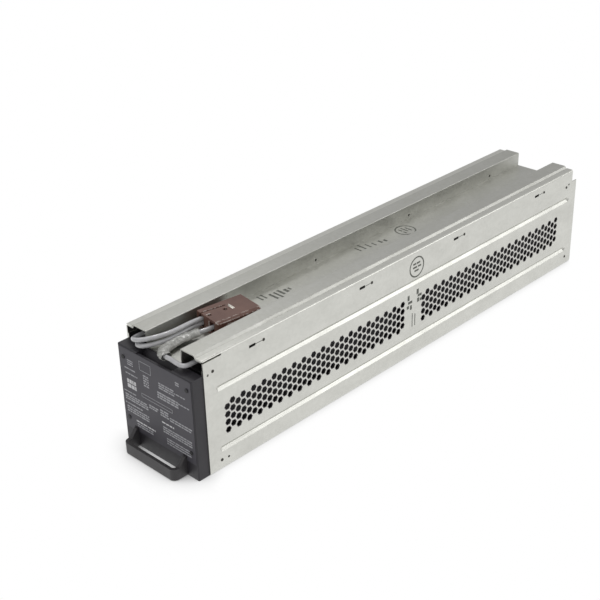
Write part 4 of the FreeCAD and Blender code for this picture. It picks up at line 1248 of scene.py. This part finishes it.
@dataclass
class Lead:
    """One free lead from a rail's open end to the connector.

    Its route's points are counted across, back from the cap's face and up from the lid's middle panel.
    """

    name: str
    node: str
    route: tuple[Spot, ...]
    across: float = 4.6

    def build(self, finish: Finish, with_pieces: list[Piece]) -> None:
        """Args:
            finish: the jacket's finish.
            with_pieces: the separate pieces on the lead; not used.
        """
        curve = self.line(self.name)
        curve.bevel_depth = self.across / 2 * MM
        curve.bevel_resolution = LEAD_FACETS
        curve.use_fill_caps = True
        piece = seat(dress(link(self.name, curve), finish), Slot.LEAD, self.node)
        self.places()[0]
        self.length()

    def line(self, name: str) -> bpy.types.Curve:
        """Make the lead's middle line.

        Args:
            name: the curve's name.

        Returns:
            A smooth spline on the route's points.
        """
        curve = bpy.data.curves.new(name, "CURVE")
        curve.dimensions = "3D"
        curve.resolution_u = LEAD_STEPS
        spline = curve.splines.new("NURBS")
        spline.points.add(len(self.route) - 1)
        for point, place in zip(spline.points, self.places()):
            point.co = (*place, 1.0)
        spline.order_u = LEAD_ORDER
        spline.use_endpoint_u = True
        return curve

    def places(self) -> list[Vector]:
        """The route's points in the frame's metres."""
        return [Place.at(x, y, Place.panel + up) for x, y, up in self.route]

    def points(self) -> list[Vector]:
        """Read points from the lead's own spline.

        Returns:
            The points in order.
        """
        holder = link(self.name + "_line", self.line(self.name + "_line"))
        graph = bpy.context.evaluated_depsgraph_get()
        mesh = bpy.data.meshes.new_from_object(holder.evaluated_get(graph))
        found = [vertex.co.copy() for vertex in mesh.vertices]
        bpy.data.meshes.remove(mesh)
        bpy.data.objects.remove(holder)
        return found

    def length(self) -> float:
        """The lead's real length in metres."""
        points = self.points()
        return sum((b - a).length for a, b in zip(points, points[1:]))


def sleeve_tree() -> Tree:
    """Make the tree that wraps a flattened, creased tube round a line.

    Returns:
        The tree.
    """
    tree, given = new_tree("creased_sleeve", {
        "Radius": "Float", "Wide": "Float", "Thin": "Float", "Crease": "Float", "Crease size": "Float",
        "Crease middle": "Float", "Crease detail": "Float", "Crease roughness": "Float",
        "Material": "Material"})
    told = given.outputs
    line = add_node(tree, "GeometryNodeMeshToCurve", {"Mesh": given})
    line = add_node(tree, "GeometryNodeResampleCurve", {"Curve": line, "Count": SLEEVE_STEPS})
    line = add_node(tree, "GeometryNodeSetCurveNormal", {"Curve": line}, mode="Z_UP")
    ring = add_node(tree, "GeometryNodeCurvePrimitiveCircle", {
        "Resolution": SLEEVE_CORNERS, "Radius": told["Radius"]})
    pressed = add_node(tree, "ShaderNodeCombineXYZ", {"X": told["Wide"], "Y": told["Thin"], "Z": 1.0})
    ring = add_node(tree, "GeometryNodeTransform", {"Geometry": ring, "Scale": pressed})
    tube = add_node(tree, "GeometryNodeCurveToMesh", {"Curve": line, "Profile Curve": ring})
    scale = add_node(tree, "ShaderNodeMath", {0: 1.0, 1: told["Crease size"]}, operation="DIVIDE")
    noise = add_node(tree, "ShaderNodeTexNoise", {
        "Vector": add_node(tree, "GeometryNodeInputPosition"), "Scale": scale, "Detail": told["Crease detail"],
        "Roughness": told["Crease roughness"]})
    depth = add_node(tree, "ShaderNodeMath", {0: noise, 1: told["Crease middle"]}, operation="SUBTRACT")
    depth = add_node(tree, "ShaderNodeMath", {0: depth, 1: told["Crease"]}, operation="MULTIPLY")
    shift = add_node(tree, "ShaderNodeVectorMath", {
        0: add_node(tree, "GeometryNodeInputNormal"), "Scale": depth}, operation="SCALE")
    tube = add_node(tree, "GeometryNodeSetPosition", {"Geometry": tube, "Offset": shift})
    tube = add_node(tree, "GeometryNodeSetShadeSmooth", {"Geometry": tube})
    add_node(tree, "NodeGroupOutput", {"Geometry": made_real(tree, tube, told["Material"])})
    return tree


@dataclass
class Sleeve:
    """Clear creased tubing over most of the right-hand lead.

    Sizes are in millimetres; wide and thin flatten it, and start and end are shares of the lead's length.
    """

    radius: float = 3.7
    wide: float = 1.45
    thin: float = 0.88
    crease: float = 3.4
    crease_size: float = 6.0
    crease_middle: float = 0.46
    crease_detail: float = 3.0
    crease_roughness: float = 0.6
    start: float = 0.3
    end: float = 0.82
    wall: float = 0.35

    def build(self, lead: Lead) -> Piece:
        """Wrap the tubing round the lead's line.

        Args:
            lead: the lead that it covers.

        Returns:
            The sleeve.
        """
        points = lead.points()
        run = [0.0]
        for first, second in zip(points, points[1:]):
            run.append(run[-1] + (second - first).length)
        covered = [point for point, gone in zip(points, run) if self.start < gone / run[-1] < self.end]
        carrier = grown("sleeve_line", covered, sleeve_tree(), {
            "Radius": self.radius * MM, "Wide": self.wide, "Thin": self.thin, "Crease": self.crease * MM,
            "Crease size": self.crease_size * MM, "Crease middle": self.crease_middle,
            "Crease detail": self.crease_detail, "Crease roughness": self.crease_roughness,
            "Material": SLEEVE.build()}, joined=True)
        return seat(baked(walled(carrier, self.wall), "creased_sleeve"), Slot.SLEEVE, "right_lead_sleeve")


@dataclass
class Wiring:
    """The connector with its three leads, of which the left-hand two lie one above the other in their bore."""

    connector: Connector = field(default_factory=Connector)
    stack: float = 2.5
    upper: tuple[Spot, ...] = (
        (-37.2, 14.0, 5.9), (-37.2, 9.2, 5.9), (-33.8, 4.8, 7.1), (-27.2, 4.6, 8.7), (-20.6, 10.0, 9.9),
        (-15.6, 20.6, 10.3), (-12.6, 33.4, 10.4), (-12.4, 46.8, 10.6))
    lower: tuple[Spot, ...] = (
        (-32.2, 14.0, 2.1), (-32.2, 9.8, 2.1), (-29.6, 5.6, 2.5), (-23.8, 5.8, 3.1), (-18.6, 11.4, 3.7),
        (-14.4, 21.2, 4.1), (-11.9, 33.2, 4.7), (-12.3, 46.6, 5.4))
    right: tuple[Spot, ...] = (
        (36.0, 14.0, 4.9), (36.0, 9.8, 4.9), (32.4, 6.2, 4.8), (25.6, 6.4, 4.6), (16.2, 7.6, 4.5),
        (6.6, 7.2, 4.5), (-0.4, 12.6, 4.5), (-3.8, 22.8, 4.5), (-4.3, 35.2, 4.7), (-0.9, 46.8, 6.3))

    def build(self) -> None:
        """Make the connector, the sleeve and the leads."""
        on_leads = self.connector.build()
        upper, lower, right = (
            Lead("lead_" + name, node, route + self.connector.wire_end(side, up))
            for name, node, route, side, up in (
                ("left_upper", "left_lead_upper", self.upper, -1, self.stack),
                ("left_lower", "left_lead_lower", self.lower, -1, -self.stack),
                ("right", "right_lead", self.right, 1, 0)))
        sleeve = Sleeve().build(right)
        for lead in (upper, lower):
            lead.build(JACKET, on_leads)
        right.build(JACKET, on_leads + [sleeve])


# ---- studio


@dataclass(frozen=True)
class Lamp:
    """A square soft lamp: its place, the point that it faces, its side in millimetres and its watts."""

    name: str
    place: Spot
    aim: Spot
    side: float
    power: float

    def build(self) -> None:
        """Hang the lamp and turn it to its point."""
        data = bpy.data.lights.new(self.name, "AREA")
        data.size = self.side * MM
        data.energy = self.power
        lamp = link(self.name, data)
        lamp.location = Place.at(*self.place)
        lamp.rotation_euler = (Place.at(*self.aim) - lamp.location).to_track_quat("-Z", "Y").to_euler()


@dataclass
class Studio:
    """A white floor, soft light and the camera.

    Places are in millimetres and angles in degrees, but for the small roll in radians. The floor darkens where
    something stands within the contact distance: from contact_dark, where it is as dark as shaded, up to
    contact_front before the cap and contact_side beside the case, where it is white.
    """

    lamps: tuple[Lamp, ...] = (
        Lamp("key", (-500, -300, 1700), (0, 250, 60), 1100, 4.5),
        Lamp("glint", (-420, 420, 900), (0, 40, 110), 160, 1.0),
        Lamp("front_fill", (700, -1500, 700), (0, 0, 60), 900, 1.2),
        Lamp("edge_light", (1500, 1750, 1050), (50, 300, 60), 1300, 9))
    eye: Spot = (741.6, -554.9, 654.0)
    azimuth: float = 44.94
    elevation: float = 28.1
    roll: float = 0.03
    lens: float = 71.54
    sensor: float = 36.0
    paper: str = "#F4F4F4"
    floor_half: float = 6000.0
    floor_drop: float = 0.02
    contact: float = 27.0
    contact_samples: int = 16
    contact_dark: float = 0.12
    contact_front: float = 0.98
    contact_side: float = 0.66
    shaded: float = 0.02
    floor_mirrored: float = 0.97
    plain_level: float = 0.45
    tent_low: float = 0.42
    tent_high: float = 0.8

    def build(self) -> None:
        """Set up the floor, the world, the lamps and the camera."""
        self.floor()
        self.world()
        for lamp in self.lamps:
            lamp.build()
        self.camera()
        bpy.context.scene.view_settings.view_transform = "Standard"

    def floor(self) -> None:
        """Lay a wide floor, white to the camera and to mirrors, that keeps the cartridge's shadow."""
        work = bmesh.new()
        bmesh.ops.create_grid(work, x_segments=1, y_segments=1, size=self.floor_half * MM)
        plane = mesh_piece("studio_floor", work)
        material = bpy.data.materials.new("studio_paper")
        tree = bare_tree(material)
        paper = add_node(tree, "ShaderNodeBsdfDiffuse", {"Color": srgb(self.paper)})
        glow = add_node(tree, "ShaderNodeEmission", {"Color": srgb("#FFFFFF"), "Strength": 1.0})
        near = add_node(tree, "ShaderNodeAmbientOcclusion", {"Distance": self.contact * MM},
                        samples=self.contact_samples)
        place = add_node(tree, "ShaderNodeTexCoord").outputs["Object"]
        back = add_node(tree, "ShaderNodeSeparateXYZ", {"Vector": place}).outputs["Y"]
        white = add_node(tree, "ShaderNodeMapRange", {
            "Value": back, "From Min": Place.face_y, "From Max": Place.face_y + self.contact * MM,
            "To Min": self.contact_front, "To Max": self.contact_side})
        light = add_node(tree, "ShaderNodeMapRange", {
            "Value": near.outputs["AO"], "From Min": self.contact_dark, "From Max": white,
            "To Min": self.shaded, "To Max": 1.0})
        path = add_node(tree, "ShaderNodeLightPath").outputs
        seen = add_node(tree, "ShaderNodeMath", {0: path["Is Camera Ray"], 1: light}, operation="MULTIPLY")
        clear = add_node(tree, "ShaderNodeMath", {
            0: path["Is Glossy Ray"], 1: path["Is Transmission Ray"]}, operation="MAXIMUM")
        mirrored = add_node(tree, "ShaderNodeMath", {0: clear, 1: self.floor_mirrored}, operation="MULTIPLY")
        share = add_node(tree, "ShaderNodeMath", {0: seen, 1: mirrored}, operation="MAXIMUM")
        mix = add_node(tree, "ShaderNodeMixShader", {0: share, 1: paper, 2: glow})
        add_node(tree, "ShaderNodeOutputMaterial", {"Surface": mix})
        plane.data.materials.append(material)
        plane.location.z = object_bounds()[0].z - self.floor_drop * MM
        plane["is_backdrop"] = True

    def world(self) -> None:
        """White to the camera, a plain level of light on the object, and a tent that metal mirrors."""
        world = bpy.data.worlds.new("studio_world")
        tree = bare_tree(world)
        path = add_node(tree, "ShaderNodeLightPath").outputs
        way = add_node(tree, "ShaderNodeTexCoord").outputs["Generated"]
        up = add_node(tree, "ShaderNodeSeparateXYZ", {"Vector": way}).outputs["Z"]
        tent = add_node(tree, "ShaderNodeMapRange", {
            "Value": up, "To Min": self.tent_low, "To Max": self.tent_high}, interpolation_type="SMOOTHSTEP")
        mirrored = add_node(tree, "ShaderNodeMix", {0: path["Is Glossy Ray"], 2: self.plain_level, 3: tent})
        clear = add_node(tree, "ShaderNodeMath", {
            0: path["Is Camera Ray"], 1: path["Is Transmission Ray"]}, operation="MAXIMUM")
        strength = add_node(tree, "ShaderNodeMix", {0: clear, 2: mirrored, 3: 1.0})
        sky = add_node(tree, "ShaderNodeBackground", {"Color": srgb("#FFFFFF"), "Strength": strength})
        add_node(tree, "ShaderNodeOutputWorld", {"Surface": sky})
        bpy.context.scene.world = world

    def camera(self) -> None:
        """Place the camera by its two angles and a small roll."""
        turn, lift = math.radians(self.azimuth), math.radians(self.elevation)
        right = Vector((math.cos(turn), math.sin(turn), 0))
        back = Vector((math.sin(turn) * math.cos(lift), -math.cos(turn) * math.cos(lift), math.sin(lift)))
        up = back.cross(right)
        across = right * math.cos(self.roll) - up * math.sin(self.roll)
        upward = up * math.cos(self.roll) + right * math.sin(self.roll)
        data = bpy.data.cameras.new("camera")
        data.lens = self.lens
        data.sensor_width = self.sensor
        camera = link("camera", data)
        turned = Matrix((across, upward, back)).transposed().to_4x4()
        camera.matrix_world = Matrix.Translation(Place.at(*self.eye)) @ turned
        bpy.context.scene.camera = camera


def main() -> None:
    """Build the cartridge round its frame, in order."""
    logging.basicConfig(level=logging.INFO, format="%(name)s: %(message)s")
    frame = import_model()
    Place.read()
    for part, made in ((Studio(), "studio and camera"), (Wiring(), "connector, leads and sleeve"),
                       (SteelCase(), "steel case, rivets and rims"), (StampedMarks(), "stamped marks"),
                       (BatteryRow(tuple(sorted(frame["nodes"]))), "inner pieces"),
                       (FrontCap(), "cap and label"), (PullHandle(), "handle")):
        part.build()
        LOG.info("%s: ready", made)


if __name__ == "__main__":
    main()
